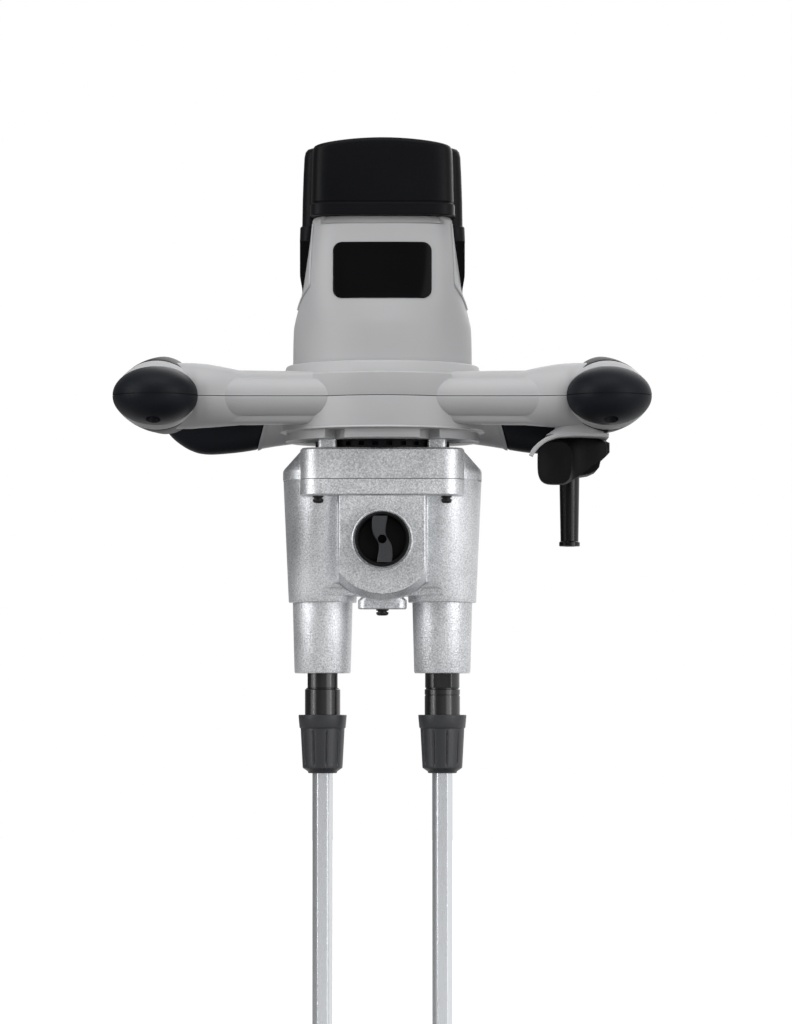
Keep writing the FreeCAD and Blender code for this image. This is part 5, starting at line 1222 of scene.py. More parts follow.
    def build_covers(self) -> None:
        """The rubber covers, each in an upper and a lower half."""
        bars = {"front_cap": self.front_zone, "side_grip": self.side_zone, "rear_cap": self.rear_zone}
        for name, zone in bars.items():
            rows = self.resample(self.bar_rows(), zone, 1.6)
            rows = rows[(rows[:, 0] > zone[0]) & (rows[:, 0] < zone[1])]
            inset = self.wide(self.cover_inset(rows[:, 0], zone))
            halves = [self.bar(half, rows, inset) for half in Half]
            if name == "front_cap":
                halves[1] = self.screw_access(zone)
            self._pair(name, halves)
        rows = self.resample(self.rear_rows(), self.arm_zone, 1.6)
        rows = rows[(rows[:, 0] > self.arm_zone[0]) & (rows[:, 0] < self.arm_zone[1])]
        inset = self.cover_inset(rows[:, 0], self.arm_zone)
        self._pair("arm_grip", [self.arm(half, rows, inset, slant=self.arm_slant) for half in Half])

    def screw_access(self, zone: tuple[float, float]) -> Points:
        """The lower half of a front cap, with the access hole of a handle screw sunk into its underside.

        Formula: points within the hole's radius of its upright axis rise by its depth, over a short steep
        wall.

        Args:
            zone: the cap's lowest and highest y.

        Returns:
            (rows, points, 3) sections.
        """
        rows = self.resample(self.bar_rows(), zone, 1.6)
        finer = self.access_place[1] + np.linspace(-1.2, 1.2, 49) * self.access_radius
        place = np.concatenate([rows[:, 0], finer])
        place = np.unique(place[(place > zone[0]) & (place < zone[1]) & (place > rows[0, 0])])
        rows = rows_at(rows, place)
        inset = np.repeat(self.cover_inset(place, zone)[:, None], 3 * self.arc, 1)
        points = self.bar(Half.LOWER, rows, inset)
        far = np.hypot(points[..., 0] - self.access_place[0], points[..., 1] - self.access_place[1])
        deep = ease(-far, -self.access_radius, -self.access_radius + 0.7) * self.access_depth
        under = points[..., 2] < -self.access_depth - 2
        return np.stack([points[..., 0], points[..., 1], points[..., 2] + deep * under], -1)

    def _pair(self, name: str, halves: Sequence[Points]) -> None:
        """Builds a cover on the right and its mirror image on the left.

        Args:
            name: name of the cover without its side.
            halves: sections of its upper and lower half.
        """
        for side, turn in (("right", lambda points: points), ("left", mirror_x)):
            shell = Shell(f"{side}_{name}_cover")
            for half in halves:
                shell.loft(turn(half))
            shell.build(RUBBER, Body.HOUSING, [f"{side}_{name}"], sharp=40)

    def build_tongue(self) -> None:
        """The dark tongue between the shells, so that no light falls through their parting gap.

        Formula: at each row of a bar or arm a flat rectangle, its edges drawn in from the outline by the
        inset.
        """
        shell = Shell("grip_parting_tongue")
        thick = self.tongue_half * np.array([-1.0, -1.0, 1.0, 1.0])
        side = np.array([-1.0, 1.0, 1.0, -1.0])
        for rows, lean in ((self.bar_rows(), None), (self.rear_rows(), self.arm_slant * self.arm_slant_z),
                           (self.sleeve_rows(), 0.0), (self.flare_rows(), 0.0)):
            rows = rows[rows[:, 2] > 2 * self.tongue_inset]
            across = rows[:, 1:2] + side * (rows[:, 2:3] - self.tongue_inset)
            along = np.repeat(rows[:, :1] + (lean or 0.0), 4, 1)
            places = (across, along) if lean is None else (along, across)
            strip = np.stack([*places, np.broadcast_to(thick, across.shape)], -1)
            shell.pair(strip)
        half = self.tongue_half
        ring = np.array([[52.0, half], [52.0, -half], [69.6, -half], [69.6, half]])
        shell.lathe(ring, count=self.hub_columns)
        shell.build(BLACK, Body.HOUSING, sharp=30)

    def build(self) -> None:
        """Builds both shells, the tongue between them and all covers."""
        for half in Half:
            self.build_shell(half)
        self.build_tongue()
        self.build_covers()


def smooth_union(first: Points, second: Points, width: float) -> Points:
    """Joins two distance fields with a fillet.

    Formula: min(a, b) - h * h * width / 4, with h = max(width - |a - b|, 0) / width.

    Args:
        first: one field.
        second: the other field.
        width: how far apart the two fields still touch.

    Returns:
        The joined field.
    """
    share = np.maximum(width - np.abs(first - second), 0) / width
    return np.minimum(first, second) - share * share * width / 4


def round_box(x: Points, y: Points, bounds: tuple, radius: Points | float) -> Points:
    """Signed distance to an upright box with round corners.

    Formula: with q = |p - middle| - half + radius, the distance is |max(q, 0)| + min(max(qx, qy), 0) -
    radius.

    Args:
        x: places across.
        y: places in depth.
        bounds: x0, x1, y0, y1 of the box, each a number or an array.
        radius: corner radius.

    Returns:
        The distance, negative inside.
    """
    x0, x1, y0, y1 = bounds
    over_x = np.abs(x - (x0 + x1) / 2) - (x1 - x0) / 2 + radius
    over_y = np.abs(y - (y0 + y1) / 2) - (y1 - y0) / 2 + radius
    outside = np.hypot(np.maximum(over_x, 0), np.maximum(over_y, 0))
    return outside + np.minimum(np.maximum(over_x, over_y), 0) - radius


def field_rings(field: Callable[[Points, Points, Points], Points], levels: Points,
                centre: tuple[float, float], count: int, reach: float = 120.0) -> Points:
    """Outlines of a field on several levels, as seen from a centre.

    Formula: along each ray from the centre the radius where the field turns positive is found by halving.

    Args:
        field: signed field of x, y and z.
        levels: (M,) heights.
        centre: place that the rays leave from.
        count: rays on each level.
        reach: longest radius that is tried.

    Returns:
        (M, count, 3) points.
    """
    turn = np.linspace(0, TAU, count, endpoint=False)[None, :]
    level = levels[:, None]
    near = np.zeros((len(levels), count))
    far = np.full_like(near, reach)
    for _ in range(40):
        middle = (near + far) / 2
        inside = field(centre[0] + middle * np.cos(turn), centre[1] + middle * np.sin(turn), level) < 0
        near, far = np.where(inside, middle, near), np.where(inside, far, middle)
    return np.stack([centre[0] + near * np.cos(turn), centre[1] + near * np.sin(turn), level + 0 * near], -1)


def front_lathe(shell: Shell, profile: Points, centre: tuple[float, float], count: int) -> None:
    """A form turned about an axis that runs from front to back.

    Formula: x = cx + r cos t, z = cz + r sin t at each (r, y) of the profile.

    Args:
        shell: the piece that takes the form.
        profile: (K, 2) array of radius and depth.
        centre: x and z of the axis.
        count: steps round the axis.
    """
    turn = np.linspace(0, TAU, count, endpoint=False)[None, :]
    radius, depth = profile[:, 0:1], profile[:, 1:2]
    x, z = centre[0] + radius * np.cos(turn), centre[1] + radius * np.sin(turn)
    open_ends = bool(profile[0, 0] > 0 or profile[-1, 0] > 0)
    shell.grid(np.stack([x, depth + 0 * turn, z], -1), loop=open_ends)


@dataclass
class Gearbox:
    """Cast gearbox: sloped cover, tapered case with two columns, boss, spindle sleeves, screws and posts.

    Attributes:
        top_z: top of the cover's front block.
        part_z: parting line of cover and case.
        step_z: foot of the columns, above the sleeves.
        spindle_x: distance of a spindle from the middle plane.
        spindle_y: depth of the spindles.
        half_top: half width of the case at the parting line.
        half_low: the same at the foot of the columns.
        face_y: front face of the boss.
        boss_edge: rounding of the boss's upright edges at its foot and above.
        front_top: front of the columns at the parting line.
        front_low: the same at their foot.
        front_power: how the front falls back in between.
        middle_top: middle of the columns at the parting line.
        rear_top: rear of the columns at the parting line.
        rear_low: the same at their foot.
        boss_half: half width of the boss's straight part.
        boss_z: middle of its round foot, and of the knob.
        boss_radius: radius of that foot.
        boss_bevel: width of the bevel round it.
        bevel_slope: steepness of that bevel.
        boss_fillet: fillet between boss and columns at the foot and above.
        web_z: lower end of the web between the columns.
        block_half: half width of the front flange block.
        block_y: its front.
        block_rear: its rear, within the case.
        block_z: its foot.
        block_round: radius of its upright edges.
        gap: half of the gap at the parting line.
        screw_x: distance of the flange screws from the middle plane.
        rear_screw_y: depth of the rear screws and their posts.
        front_screw_y: depth of the front screws.
    """

    top_z: float = -34.6
    part_z: float = -56.3
    step_z: float = -141.0
    spindle_x: float = 42.0
    spindle_y: float = 7.0
    half_top: float = 69.5
    half_low: float = 65.8
    face_y: float = -45.2
    boss_edge: tuple[float, float] = (0.6, 0.9)
    front_top: float = -35.5
    front_low: float = -16.8
    front_power: float = 1.7
    middle_top: float = 3.0
    rear_top: float = 38.0
    rear_low: float = 30.8
    boss_half: float = 30.0
    boss_z: float = -98.7
    boss_radius: float = 41.4
    boss_bevel: float = 4.2
    bevel_slope: float = 2.3
    boss_fillet: tuple[float, float] = (3.0, 4.0)
    web_z: float = -136.4
    block_half: float = 57.0
    block_y: float = -47.0
    block_rear: float = -10.0
    block_z: float = -68.0
    block_round: float = 15.0
    gap: float = 0.22
    screw_x: float = 44.5
    rear_screw_y: float = 37.0
    front_screw_y: float = -38.0

    def case_field(self, x: Points, y: Points, z: Points) -> Points:
        """Signed field of the case: two tapered oval columns and a web between them, filleted to the boss.

        A column's field is a * (|((|x| - axis) / a, (y - middle) / b)| - 1), with its own b in front and
        behind. The boss's edges and fillet grow from sharp at its round foot to soft above. Below the web
        only it is left.

        Args:
            x: places across.
            y: places in depth.
            z: heights.

        Returns:
            The field, below zero inside.
        """
        wide, middle, front, rear = self.column(z)
        across = (np.abs(x) - self.spindle_x) / wide
        deep = np.where(y < middle, (middle - y) / (middle - front), (y - middle) / (rear - middle))
        columns = wide * (np.hypot(across, deep) - 1)
        web = round_box(x, y, (-self.spindle_x, self.spindle_x, front + 9.0, rear - 1.5), 6.0)
        below = np.minimum(z - self.boss_z, 0)
        half = np.minimum(self.boss_half, np.sqrt(np.maximum(self.boss_radius ** 2 - below ** 2, 0.04)))
        soft = ease(below, -24.0, -6.0)
        edge = self.boss_edge[0] + (self.boss_edge[1] - self.boss_edge[0]) * soft
        boss = round_box(x, y, (-half, half, self.face_y, 6.0), np.minimum(edge, half))
        rim = np.maximum(np.hypot(x, below) - self.boss_radius + self.boss_bevel, 0)
        boss = np.maximum(boss, self.face_y + self.bevel_slope * rim - y)
        fillet = self.boss_fillet[0] + (self.boss_fillet[1] - self.boss_fillet[0]) * soft
        whole = smooth_union(smooth_union(columns, web, 6.0), boss, fillet)
        return np.where(z > self.web_z, whole, boss)

    def column(self, z: Points) -> tuple[Points, Points, Points, Points]:
        """Half width, middle, front and rear of the columns at given heights.

        With the share d of the way down, each is straight in d but the front, which falls back as d ** 1.7.

        Args:
            z: heights.

        Returns:
            Half width, middle, front and rear at each height.
        """
        down = np.clip((self.part_z - z) / (self.part_z - self.step_z), 0, 1)
        front = self.front_top + (self.front_low - self.front_top) * down ** self.front_power
        rear = self.rear_top + (self.rear_low - self.rear_top) * down
        middle = self.middle_top + (self.spindle_y - self.middle_top) * down
        wide = (self.half_top - self.spindle_x) + (self.half_low - self.half_top) * down
        return wide, middle, front, rear

    def feet(self, shell: Shell) -> None:
        """The free lower ends of the columns below the web: the columns' own ovals, carried down to the step.

        Args:
            shell: the piece that takes the feet.
        """
        levels = np.array([self.web_z + 0.4, self.web_z - 0.02,
                           self.step_z + 0.6, self.step_z + 0.2, self.step_z])
        size = np.array([0.97, 1.0, 1.0, 0.997, 0.985])[:, None]
        wide, middle, front, rear = (part[:, None] for part in self.column(levels))
        turn = np.arange(128) * TAU / 128
        deep = np.where(np.sin(turn) < 0, middle - front, rear - middle)
        foot = np.stack([self.spindle_x + size * wide * np.cos(turn), middle + size * deep * np.sin(turn),
                         np.repeat(levels[:, None], 128, 1)], -1)
        shell.pair(foot)

    def build_case(self) -> None:
        """The case below the parting line: outlines of its field on falling levels, turned sleeves and posts.

        The front block and the lug are round rectangles on a few levels.
        """
        shell = Shell("gearbox_casting")
        levels = np.concatenate([np.linspace(self.part_z - self.gap, -120, 40), np.linspace(-121, -136.0, 28),
                                 [self.web_z + 0.01, self.web_z - 0.01], np.linspace(-136.8, -139.9, 14)])
        shell.loft(field_rings(self.case_field, levels, (0.0, -4.0), 640))
        self.feet(shell)
        sleeve = np.array([[0, -139.0], [20.9, -139.0], [21.0, -141.6], [19.75, -189.4], [19.2, -190.5],
                           [14.0, -190.5], [13.6, -190.1], [13.6, -185.0], [0, -185.0]])
        for side in (-1, 1):
            shell.lathe(sleeve, (side * self.spindle_x, self.spindle_y), 96)
        self._block(shell, self.part_z - self.gap, self.block_z, (0.0, 1.2))
        lug = round_outline((-17.0, 17.0, -15.6, -2.8), 6.0, 10)
        lug_in = round_outline((-16.2, 16.2, -14.8, -3.6), 5.4, 10)
        lug_top = round_outline((-12.0, 12.0, -15.6, -2.8), 6.0, 10)
        shell.loft(np.stack([lifted(lug_top, -135.0), lifted(lug, -139.8), lifted(lug, -145.3),
                             lifted(lug_in, -146.0)]))
        post = np.array([[0, -55.9], [7.5, -56.5], [7.3, -67.2], [6.6, -68.0], [0, -68.0]])
        for side in (-1, 1):
            shell.lathe(post, (side * self.screw_x, self.rear_screw_y), 48)
        bore = np.array([[19.2, -41.5], [19.6, -41.5], [19.65, -45.9], [19.9, -46.2], [20.6, -46.2],
                         [21.1, -45.8], [21.3, -45.1], [21.3, -43.0], [19.2, -43.0]])
        front_lathe(shell, bore, (0.0, self.boss_z), 120)
        shell.build(CAST, Body.HOUSING, ["gearbox_case"], sharp=34)

    def _block(self, shell: Shell, top: float, low: float, bevels: tuple[float, float]) -> None:
        """One half of the front flange block: round rectangles, drawn in at its bevelled ends.

        Args:
            shell: the piece that takes the block.
            top: its upper end.
            low: its lower end.
            bevels: sizes of the bevels at its upper and lower end.
        """
        half, front = self.block_half, self.block_y
        sizes = np.array([[top, bevels[0]], [top - bevels[0], 0.0], [low + bevels[1], 0.0],
                          [low, bevels[1]]])
        rings = []
        for z, cut in sizes:
            spans = (-half + cut, half - cut, front + cut, self.block_rear)
            rings.append(lifted(round_outline(spans, self.block_round - cut, 20), z))
        shell.loft(np.stack(rings))

    def build_cover(self) -> None:
        """The cover above the parting line: round rectangles that grow downwards, front block and posts."""
        shell = Shell("gearbox_cover_casting")
        rows = np.array([[-34.0, 54.6, 36.0, 16.0], [-34.7, 55.6, 36.6, 17.0], [-36.0, 57.0, 37.2, 18.5],
                         [-48.4, 68.6, 37.9, 26.8], [-49.8, 69.4, 38.0, 27.4], [-51.4, 69.5, 38.0, 27.5],
                         [self.part_z + self.gap, 69.5, 38.0, 27.5]])
        rings = [lifted(round_outline((-half, half, -deep, deep), radius, 16), z)
                 for z, half, deep, radius in rows]
        shell.loft(np.stack(rings))
        tongue = round_outline((-67.0, 67.0, -35.5, 35.5), 25.0, 16)
        shell.loft(np.stack([lifted(tongue, self.part_z - 0.6), lifted(tongue, self.part_z + 0.6)]))
        self._block(shell, self.top_z, self.part_z + self.gap, (1.4, 0.0))
        post = np.array([[0, -55.9], [7.5, -55.9], [7.5, -50.0], [6.0, -45.0], [0, -44.5]])
        for side in (-1, 1):
            shell.lathe(post, (side * self.screw_x, self.rear_screw_y), 48)
            for front in (-1, 1):
                edge = sorted((front * 24.0, front * 41.5))
                pad = round_outline((side * 38.0 - 6.6, side * 38.0 + 6.6, edge[0], edge[1]), 3.0, 6)
                shell.loft(np.stack([lifted(pad, -36.0), lifted(pad, -28.9)]))
        shell.build(CAST, Body.HOUSING, ["gearbox_cover"], sharp=34)

    def build_screws(self) -> None:
        """Black screw heads below the flange blocks and below the lug."""
        shell = Shell("gearbox_screw_heads")
        for side in (-1, 1):
            for y in (self.front_screw_y, self.rear_screw_y):
                self._head(shell, (side * self.screw_x, y), self.block_z, 3.75, 5.0)
        self._head(shell, (0.0, -9.8), -146.0, 4.4, 4.4)
        shell.build(SCREW, Body.HOUSING, ["gearbox_screws"], sharp=34)

    @staticmethod
    def _head(shell: Shell, place: tuple[float, float], top: float, radius: float, height: float) -> None:
        """A turned pan head that hangs below its seat, with a washer face, a waist and a drive recess.

        Args:
            shell: the piece that takes the head.
            place: x and y of its axis.
            top: height of its seat.
            radius: its radius.
            height: how far it hangs down.
        """
        share = np.array([[0, 0.12], [1, 0.12], [1.0, -0.14], [0.95, -0.22], [0.72, -0.27], [0.72, -0.4],
                          [0.96, -0.46], [1.0, -0.58], [0.94, -0.8], [0.78, -0.95], [0.58, -1.0],
                          [0.42, -1.0], [0.36, -0.6], [0, -0.6]])
        shell.lathe(share * np.array([radius, height]) + np.array([0, top]), place, 36)

    def build(self) -> None:
        """Builds the cover, the case and their screws."""
        self.build_case()
        self.build_cover()
        self.build_screws()


@dataclass
class SpeedKnob:
    """Round speed knob with a deep front, an S-shaped finger rib and a centre hole.

    Attributes:
        centre_z: height of its axis.
        radius: its radius.
        front_y: its front edge.
        floor_y: floor of its deep front.
        back_y: its back.
        wall: thickness of its wall.
        rib_half: half width of the finger rib.
        rib_sway: how far the rib's ends swing aside.
        hole: radius of the centre hole.
    """

    centre_z: float = -98.7
    radius: float = 18.9
    front_y: float = -61.9
    floor_y: float = -53.5
    back_y: float = -45.6
    wall: float = 2.3
    rib_half: float = 4.7
    rib_sway: float = 2.7
    hole: float = 3.1

    def build(self) -> None:
        """Builds the knob as a turned cup with two rib halves around the hole.

        The rib's middle line is x = -sway * tanh(z / 4) * (1 - 0.45 * (z / tall) ** 2), and each half ends
        at the hole's circle.
        """
        shell, rib = Shell("speed_knob"), Shell("speed_knob_rib")
        r, inner = self.radius, self.radius - self.wall
        cup = np.array([[0, self.floor_y], [inner - 1.2, self.floor_y], [inner - 0.3, self.floor_y - 0.9],
                        [inner, self.front_y + 1.0], [inner + 0.5, self.front_y + 0.2],
                        [r - 0.9, self.front_y], [r - 0.2, self.front_y + 0.5], [r, self.front_y + 1.4],
                        [r, self.back_y], [0, self.back_y]])
        front_lathe(shell, cup, (0.0, self.centre_z), 128)
        tall = math.sqrt(inner ** 2 - self.rib_half ** 2)
        z = np.unique(np.concatenate([np.linspace(-tall, tall, 50), np.linspace(-self.hole, self.hole, 25)]))
        middle = -self.rib_sway * np.tanh(z / 4.0) * (1 - 0.45 * (z / tall) ** 2)
        notch = np.sqrt(np.maximum(self.hole ** 2 - z ** 2, 0.0004))
        half = self.rib_half - 0.5 * np.cos(z / tall * math.pi)
        for side in (-1, 1):
            edge = middle + side * half
            hole = np.where(np.abs(z) < self.hole, side * notch, middle + side * 0.02)
            top = np.full_like(z, self.front_y + 0.4)
            low = np.full_like(z, self.floor_y + 0.6)
            x = np.stack([edge, edge - side * 0.7, hole, hole, edge], 1)
            y = np.stack([top + 0.7, top, top, low, low], 1)
            rib.loft(np.stack([x, y, self.centre_z + np.repeat(z[:, None], 5, 1)], -1))
        shell.build(BLACK, Body.SELECTOR, ["selector_knob"], sharp=34)
        rib.build(COLLAR, Body.SELECTOR, sharp=34)


class Hand(Enum):
    """The two drive lines; the value is the side of the middle plane."""

    LEFT = -1
    RIGHT = 1


@dataclass
class DriveLine:
    """One stirrer drive: black chuck, sliding fluted collar, hexagonal rod and its helical paddle.

    Attributes:
        hand: which of the two drives.
        axis_x: distance of its axis from the middle plane.
        axis_y: depth of its axis.
        neck_radius: radius of the chuck's neck.
        flat_half: half of the width across the neck's flats.
        flutes: number of flutes round the collar.
        flute_deep: depth of a flute.
        rod_flats: width of the rod across its flats.
        rod_bevel: half width of the bevel on its edges.
        rod_fit: share of the corner radius that the bevels leave.
        rod_top: upper end of the rod, within the chuck.
        rod_low: its lower end.
        paddle_radius: largest radius of the paddle.
        paddle_top: top of its upper hub.
        strip_wide: width of a strip.
        strip_thick: thickness of a strip.
        strip_bevel: bevel on its edges.
        strips: number of strips.
        twist: turn of a strip from hub to hub in degrees.
        spring_radius: radius of the collar spring's coil.
        spring_wire: radius of its wire.
        spring_span: its upper and lower end.
        spring_turns: number of its turns.
    """

    hand: Hand
    axis_x: float = 42.0
    axis_y: float = 7.0
    neck_radius: float = 12.1
    flat_half: float = 10.5
    flutes: int = 10
    flute_deep: float = 0.85
    rod_flats: float = 12.5
    rod_bevel: float = 0.35
    rod_fit: float = 0.985
    rod_top: float = -223.6
    rod_low: float = -654.4
    paddle_radius: float = 57.0
    paddle_top: float = -536.6
    strip_wide: float = 10.0
    strip_thick: float = 3.0
    strip_bevel: float = 0.6
    strips: int = 3
    twist: float = 130.0
    spring_radius: float = 10.8
    spring_wire: float = 0.7
    spring_span: tuple[float, float] = (-233.4, -253.2)
    spring_turns: int = 4

    @property
    def centre(self) -> tuple[float, float]:
        """Place of the drive's axis."""
        return self.hand.value * self.axis_x, self.axis_y

    @property
    def side(self) -> str:
        """Side name of the nodes of this drive."""
        return self.hand.name.lower()

    def build_chuck(self) -> None:
        """The turned chuck with two wrench flats on its neck.

        Formula: on the neck the radius is min(r, flat / |cos(t - facing)|), so two flats cut the round.
        """
        shell = Shell(f"{self.side}_chuck_body")
        groove = [[12.4, -203.6], [12.4, -205.4], [12.05, -205.6], [12.05, -206.2], [12.4, -206.4]]
        ring = groove if self.hand is Hand.RIGHT else [[12.4, -203.6]]
        profile = np.array([[0, -188.0], [12.1, -188.0], [12.1, -200.6], [11.5, -200.9], [11.5, -201.4],
                            [12.0, -201.6], [12.4, -202.0], *ring, [12.4, -232.2], [11.9, -232.6],
                            [9.2, -232.6], [9.2, -245.0], [8.8, -245.6], [7.35, -245.6], [7.3, -233.0],
                            [0, -233.0]])
        facing = 0.0 if self.hand is Hand.LEFT else math.pi / 2

        def flats(radius: Points, turn: Points) -> Points:
            """Cuts the two flats into the neck's rows."""
            cut = self.flat_half / np.maximum(np.abs(np.cos(turn - facing)), 0.05)
            return np.where(np.isclose(radius, self.neck_radius), np.minimum(radius, cut), radius)

        shell.lathe(profile, self.centre, 144, flats)
        shell.build(CHUCK, Body[f"{self.hand.name}_DRIVE"], [f"{self.side}_chuck"], sharp=30)

    def build_collar(self) -> None:
        """The sliding collar: a flared flange over a taper with narrow flutes.

        Formula: the radius falls by depth * (max(cos(n t), 0) ** 14) where the flutes are, fading at both
        ends.
        """
        shell = Shell(f"{self.side}_collar_sleeve")
        rows = np.array([[12.7, -219.6], [16.5, -219.6], [16.9, -220.0], [16.85, -221.0], [16.2, -228.4],
                         [15.9, -228.9], [15.45, -229.1], [15.4, -229.6]])
        taper = np.column_stack([np.linspace(15.38, 14.0, 26), np.linspace(-230.2, -256.2, 26)])
        end = np.array([[13.8, -256.9], [10.4, -259.2], [10.0, -260.3], [9.6, -260.5], [8.9, -260.3],
                        [8.9, -256.0], [12.7, -254.0]])

        def fluted(radius: Points, turn: Points) -> Points:
            """Presses narrow flutes into the taper."""
            share = np.clip((15.4 - radius) / 1.4, 0, 1)
            fade = ease(share, 0.0, 0.10) * ease(-share, -1.0, -0.86) * (radius < 15.395) * (radius > 13.95)
            wave = np.maximum(np.cos(self.flutes * turn + math.pi * 0.35), 0) ** 14
            return radius - self.flute_deep * fade * wave

        shell.lathe(np.concatenate([rows, taper, end]), self.centre, 360, fluted)
        shell.build(COLLAR, Body[f"{self.hand.name}_COLLAR"], [f"{self.side}_collar"], sharp=34)

    def build_spring(self) -> None:
        """The collar's spring, which is held by the chuck on top and pressed together by the collar below.

        Formula: a helix of even pitch, x = r cos t and y = r sin t, in round wire.
        """
        x, y = self.centre
        high, low = self.spring_span
        turn = np.linspace(0, TAU * self.spring_turns, 36 * self.spring_turns + 1)
        path = np.column_stack([x + self.spring_radius * np.cos(turn), y + self.spring_radius * np.sin(turn),
                                np.linspace(high, low, len(turn))])
        span = Span(Body[f"{self.hand.name}_COLLAR"], (x * MM, y * MM, high * MM), (x * MM, y * MM, low * MM))
        shell = Shell(f"{self.side}_collar_coil").loft(tube(path, self.spring_wire, 8))
        shell.build(STEEL, Body[f"{self.hand.name}_DRIVE"], [f"{self.side}_collar_spring"], span=span)

    def build_stirrer(self) -> None:
        """The rod, a bevelled hexagon carried straight down, with two turned hubs and the helical strips."""
        shell = Shell(f"{self.side}_stirrer")
        turn = np.arange(6) * TAU / 6
        corner = self.rod_flats / math.sqrt(3)
        bevel = self.rod_bevel / corner
        edges = np.sort(np.concatenate([turn - bevel, turn + bevel]))
        flat = np.column_stack([np.cos(edges), np.sin(edges)]) * corner * self.rod_fit
        ring, small = (flat * size + np.array(self.centre) for size in (1.0, 0.9))
        shell.loft(np.stack([lifted(small, self.rod_top), lifted(ring, self.rod_top - 1.0),
                             lifted(ring, self.rod_low + 1.0), lifted(small, self.rod_low)]))
        for top in (self.paddle_top, self.rod_low + 12.4):
            hub = np.array([[0, 0.0], [9.7, 0.0], [10.5, -0.8], [10.5, -11.2], [9.7, -12.0], [0, -12.0]])
            shell.lathe(hub + np.array([0, top]), self.centre, 64)
        for number in range(self.strips):
            shell.loft(self.strip(number))
        shell.build(ZINC, Body[f"{self.hand.name}_DRIVE"], [f"{self.side}_paddle"], sharp=30)

    def strip(self, number: int) -> Points:
        """One flat strip that runs out from the upper hub, down along a helix and back to the lower hub.

        Formula: radius, height and twist are smooth curves of the strip's length. The section is a flat bar
        whose width stands across the path within the surface of turning, and whose thickness points along
        that surface's normal.

        Args:
            number: which of the strips.

        Returns:
            (rows, 8, 3) sections.
        """
        share = np.linspace(0, 1, 9)
        radius = np.array([0.15, 0.45, 0.78, 0.96, 1.0, 0.96, 0.78, 0.45, 0.15])
        height = np.array([0.06, 0.0, 0.05, 0.22, 0.5, 0.78, 0.95, 1.0, 0.94])
        turned = np.array([0.0, 0.02, 0.08, 0.26, 0.5, 0.74, 0.92, 0.98, 1.0])
        at = np.linspace(0, 1, 97)
        curves = [lerp_rows(np.column_stack([share, c]), len(at))[:, 1] for c in (radius, height, turned)]
        away = curves[0] * (self.paddle_radius - self.strip_thick)
        drop = self.paddle_top - 5.0 - curves[1] * (self.paddle_top - self.rod_low - 10.4)
        start = 0.0 if self.hand is Hand.RIGHT else math.pi / 3
        turn = start + number * TAU / self.strips + curves[2] * math.radians(self.twist)
        path = np.stack([away * np.cos(turn), away * np.sin(turn), drop], -1)
        ahead = unit(np.gradient(path, axis=0))
        spin = np.stack([-np.sin(turn), np.cos(turn), 0 * turn], -1)
        normal = unit(np.cross(spin, ahead))
        wide = np.cross(ahead, normal)
        half_w, half_t, cut = self.strip_wide / 2, self.strip_thick / 2, self.strip_bevel
        right = np.array([[half_w - cut, half_t], [half_w, half_t - cut], [half_w, cut - half_t],
                          [half_w - cut, -half_t]])
        section = np.concatenate([right, right[::-1] * np.array([-1, 1])])
        points = path[:, None] + wide[:, None] * section[None, :, :1] + normal[:, None] * section[None, :, 1:]
        if self.hand is Hand.LEFT:
            points = mirror_x(points)
        return points + np.array([*self.centre, 0.0])

    def build(self) -> None:
        """Builds the chuck, the collar with its spring, and the stirrer."""
        self.build_chuck()
        self.build_collar()
        self.build_spring()
        self.build_stirrer()


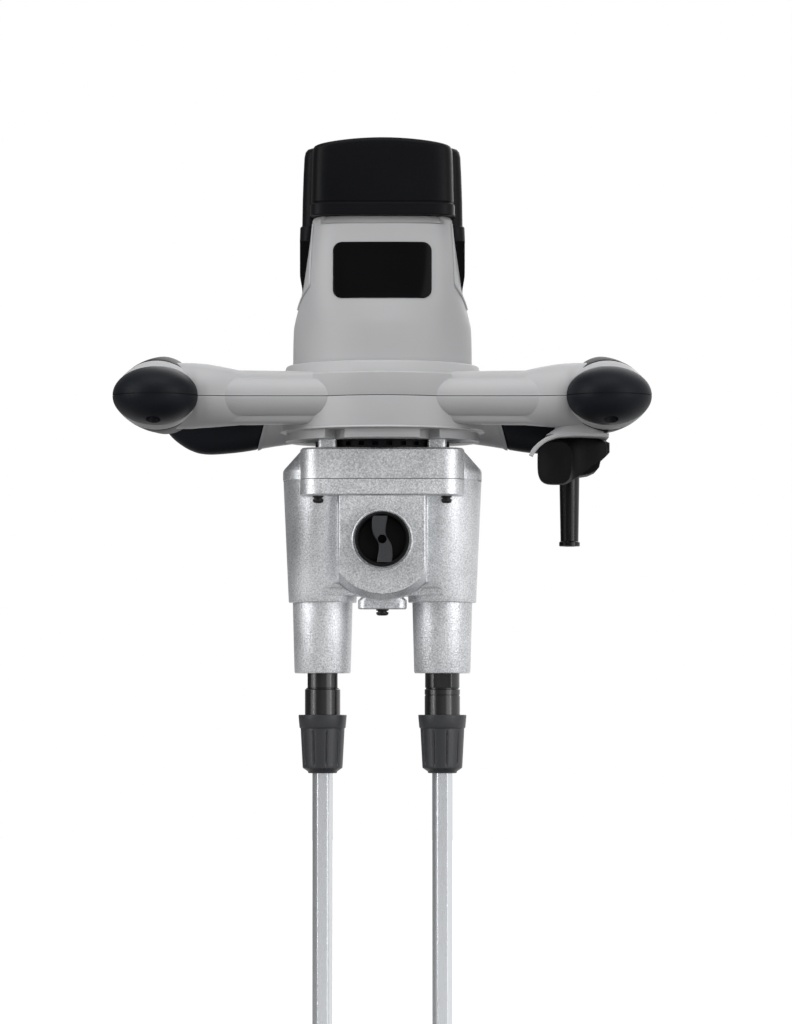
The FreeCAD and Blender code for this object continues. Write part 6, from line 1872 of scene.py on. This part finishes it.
@dataclass
class SwitchGear:
    """What hangs under the right bar: trigger lever with its hook, switch housing and cord boot.

    Attributes:
        boot_x: place of the cord boot's axis across.
        boot_y: depth of that axis.
        boot_top: upper end of the boot.
        boot_low: its lower end.
        boot_bore: radius of its bore.
        house_y: front and rear of the switch housing.
        hook_y: front of the trigger's hook.
        hook_scoop: depth of the scoop in its face.
        hook_round: how far its edge falls back.
        pin_y: depth of the trigger pin.
        pin_z: its height.
    """

    boot_x: float = 133.0
    boot_y: float = 47.0
    boot_top: float = -45.5
    boot_low: float = -100.0
    boot_bore: float = 4.0
    house_y: tuple[float, float] = (29.0, 64.0)
    hook_y: float = -51.3
    hook_scoop: float = 3.4
    hook_round: float = 0.9
    pin_y: float = 10.0
    pin_z: float = -30.5

    def build_trigger(self) -> None:
        """The lever, whose front end drops to a hook with a scooped face.

        Formula: rounded sections along y; in front they shrink towards their middle while y sinks back as
        scoop * (1 - s * s) + round * s ** 8 for the share s of the section that is left.
        """
        shell = Shell("trigger_lever_body")
        rows = np.array([[18.0, 134.4, 18.0, -31.6, 3.0], [16.0, 134.6, 21.0, -32.6, 5.2],
                         [8.0, 134.8, 21.8, -34.0, 6.8], [-18.0, 134.8, 21.8, -35.0, 7.8],
                         [-34.0, 134.4, 21.8, -35.6, 8.4], [-37.0, 131.6, 20.4, -37.0, 9.8],
                         [-39.4, 123.4, 15.2, -42.4, 15.0], [-43.0, 120.2, 12.8, -45.0, 15.6],
                         [-47.0, 119.5, 12.0, -45.6, 15.0], [-49.8, 119.2, 11.6, -45.8, 14.6]])
        rows = lerp_rows(rows[::-1], 80)
        ring = squircle(np.ones(1), np.ones(1), 3.4, 72)[0]
        body = np.stack([rows[:, 1:2] + rows[:, 2:3] * ring[:, 0], rows[:, 0:1] + 0 * ring[:, 0],
                         rows[:, 3:4] + rows[:, 4:5] * ring[:, 1]], -1)
        share = np.array([0.06, 0.25, 0.45, 0.62, 0.76, 0.87, 0.94, 0.98])
        _, x, wide, z, tall = rows[0]
        depth = self.hook_y + self.hook_scoop * (1 - share ** 2) + self.hook_round * share ** 8
        front = np.stack([x + wide * share[:, None] * ring[:, 0], depth[:, None] + 0 * ring[:, 0],
                          z + tall * share[:, None] * ring[:, 1]], -1)
        shell.loft(np.concatenate([front, body]))
        shell.build(BLACK, Body.TRIGGER, ["trigger"], sharp=40)

    def build_housing(self) -> None:
        """The switch housing: an outline with a twice cut corner, carried along y, with bevelled ends."""
        shell = Shell("switch_housing_body")
        outline = np.array([[126.0, -15.5], [151.0, -15.5], [156.0, -24.6], [161.0, -27.0], [161.0, -33.8],
                            [154.6, -40.0], [153.6, -44.4], [151.0, -47.4], [146.0, -49.6], [133.5, -51.6],
                            [128.2, -48.6], [126.0, -43.0]])
        dense = denser(outline, 6)
        middle = dense.mean(0)
        low, high = self.house_y
        steps = np.array([[low, 0.90], [low + 0.5, 0.955], [low + 1.6, 0.99], [low + 3.0, 1.0],
                          [high - 3.0, 1.0], [high - 1.6, 0.99], [high - 0.5, 0.955], [high, 0.90]])
        points = middle + (dense - middle)[None] * steps[:, 1][:, None, None]
        rings = np.stack([points[..., 0], np.repeat(steps[:, :1], len(dense), 1), points[..., 1]], -1)
        shell.loft(rings)
        shell.build(BLACK, Body.HOUSING, ["switch_housing"], sharp=24)

    def build_boot(self) -> None:
        """The cord boot, turned about its axis: a smooth tapered tube with an end flange and an open bore."""
        shell = Shell("cord_boot_sleeve")
        low, bore = self.boot_low, self.boot_bore
        profile = np.array([[bore, low + 0.4], [bore + 0.4, low], [7.0, low], [7.4, low + 0.4],
                            [7.4, low + 2.8], [7.0, low + 3.3], [6.5, low + 3.6], [6.4, low + 4.2],
                            [6.5, low + 10], [7.2, -49.0], [7.2, self.boot_top], [bore, self.boot_top]])
        shell.lathe(profile, (self.boot_x, self.boot_y), 72)
        shell.build(BOOT, Body.HOUSING, ["cord_boot"], sharp=34)

    def build_pin(self) -> None:
        """The short steel pin that the lever turns on: circles in y and z along x, smaller at the ends."""
        shell = Shell("trigger_pin_rod")
        turn = np.arange(32) * TAU / 32
        rows = np.array([[113.0, 0.6], [113.2, 1.5], [113.9, 2.0], [156.0, 2.0], [156.6, 1.5], [156.8, 0.6]])
        x, radius = rows[:, :1], rows[:, 1:]
        y, z = self.pin_y + radius * np.cos(turn), self.pin_z + radius * np.sin(turn)
        shell.loft(np.stack([x + 0 * turn, y, z], -1))
        shell.build(STEEL, Body.HOUSING, ["trigger_pin"], sharp=34)

    def build(self) -> None:
        """Builds the trigger and its pin, the switch housing and the boot."""
        self.build_trigger()
        self.build_pin()
        self.build_housing()
        self.build_boot()


def main() -> None:
    """Builds the studio and every piece in order."""
    logging.basicConfig(level=logging.INFO, format="%(name)s %(message)s")
    Studio().build()
    dress_frame()
    MotorHead().build()
    Grip().build()
    SwitchGear().build()
    Gearbox().build()
    SpeedKnob().build()
    for hand in Hand:
        DriveLine(hand).build()


if __name__ == "__main__":
    main()
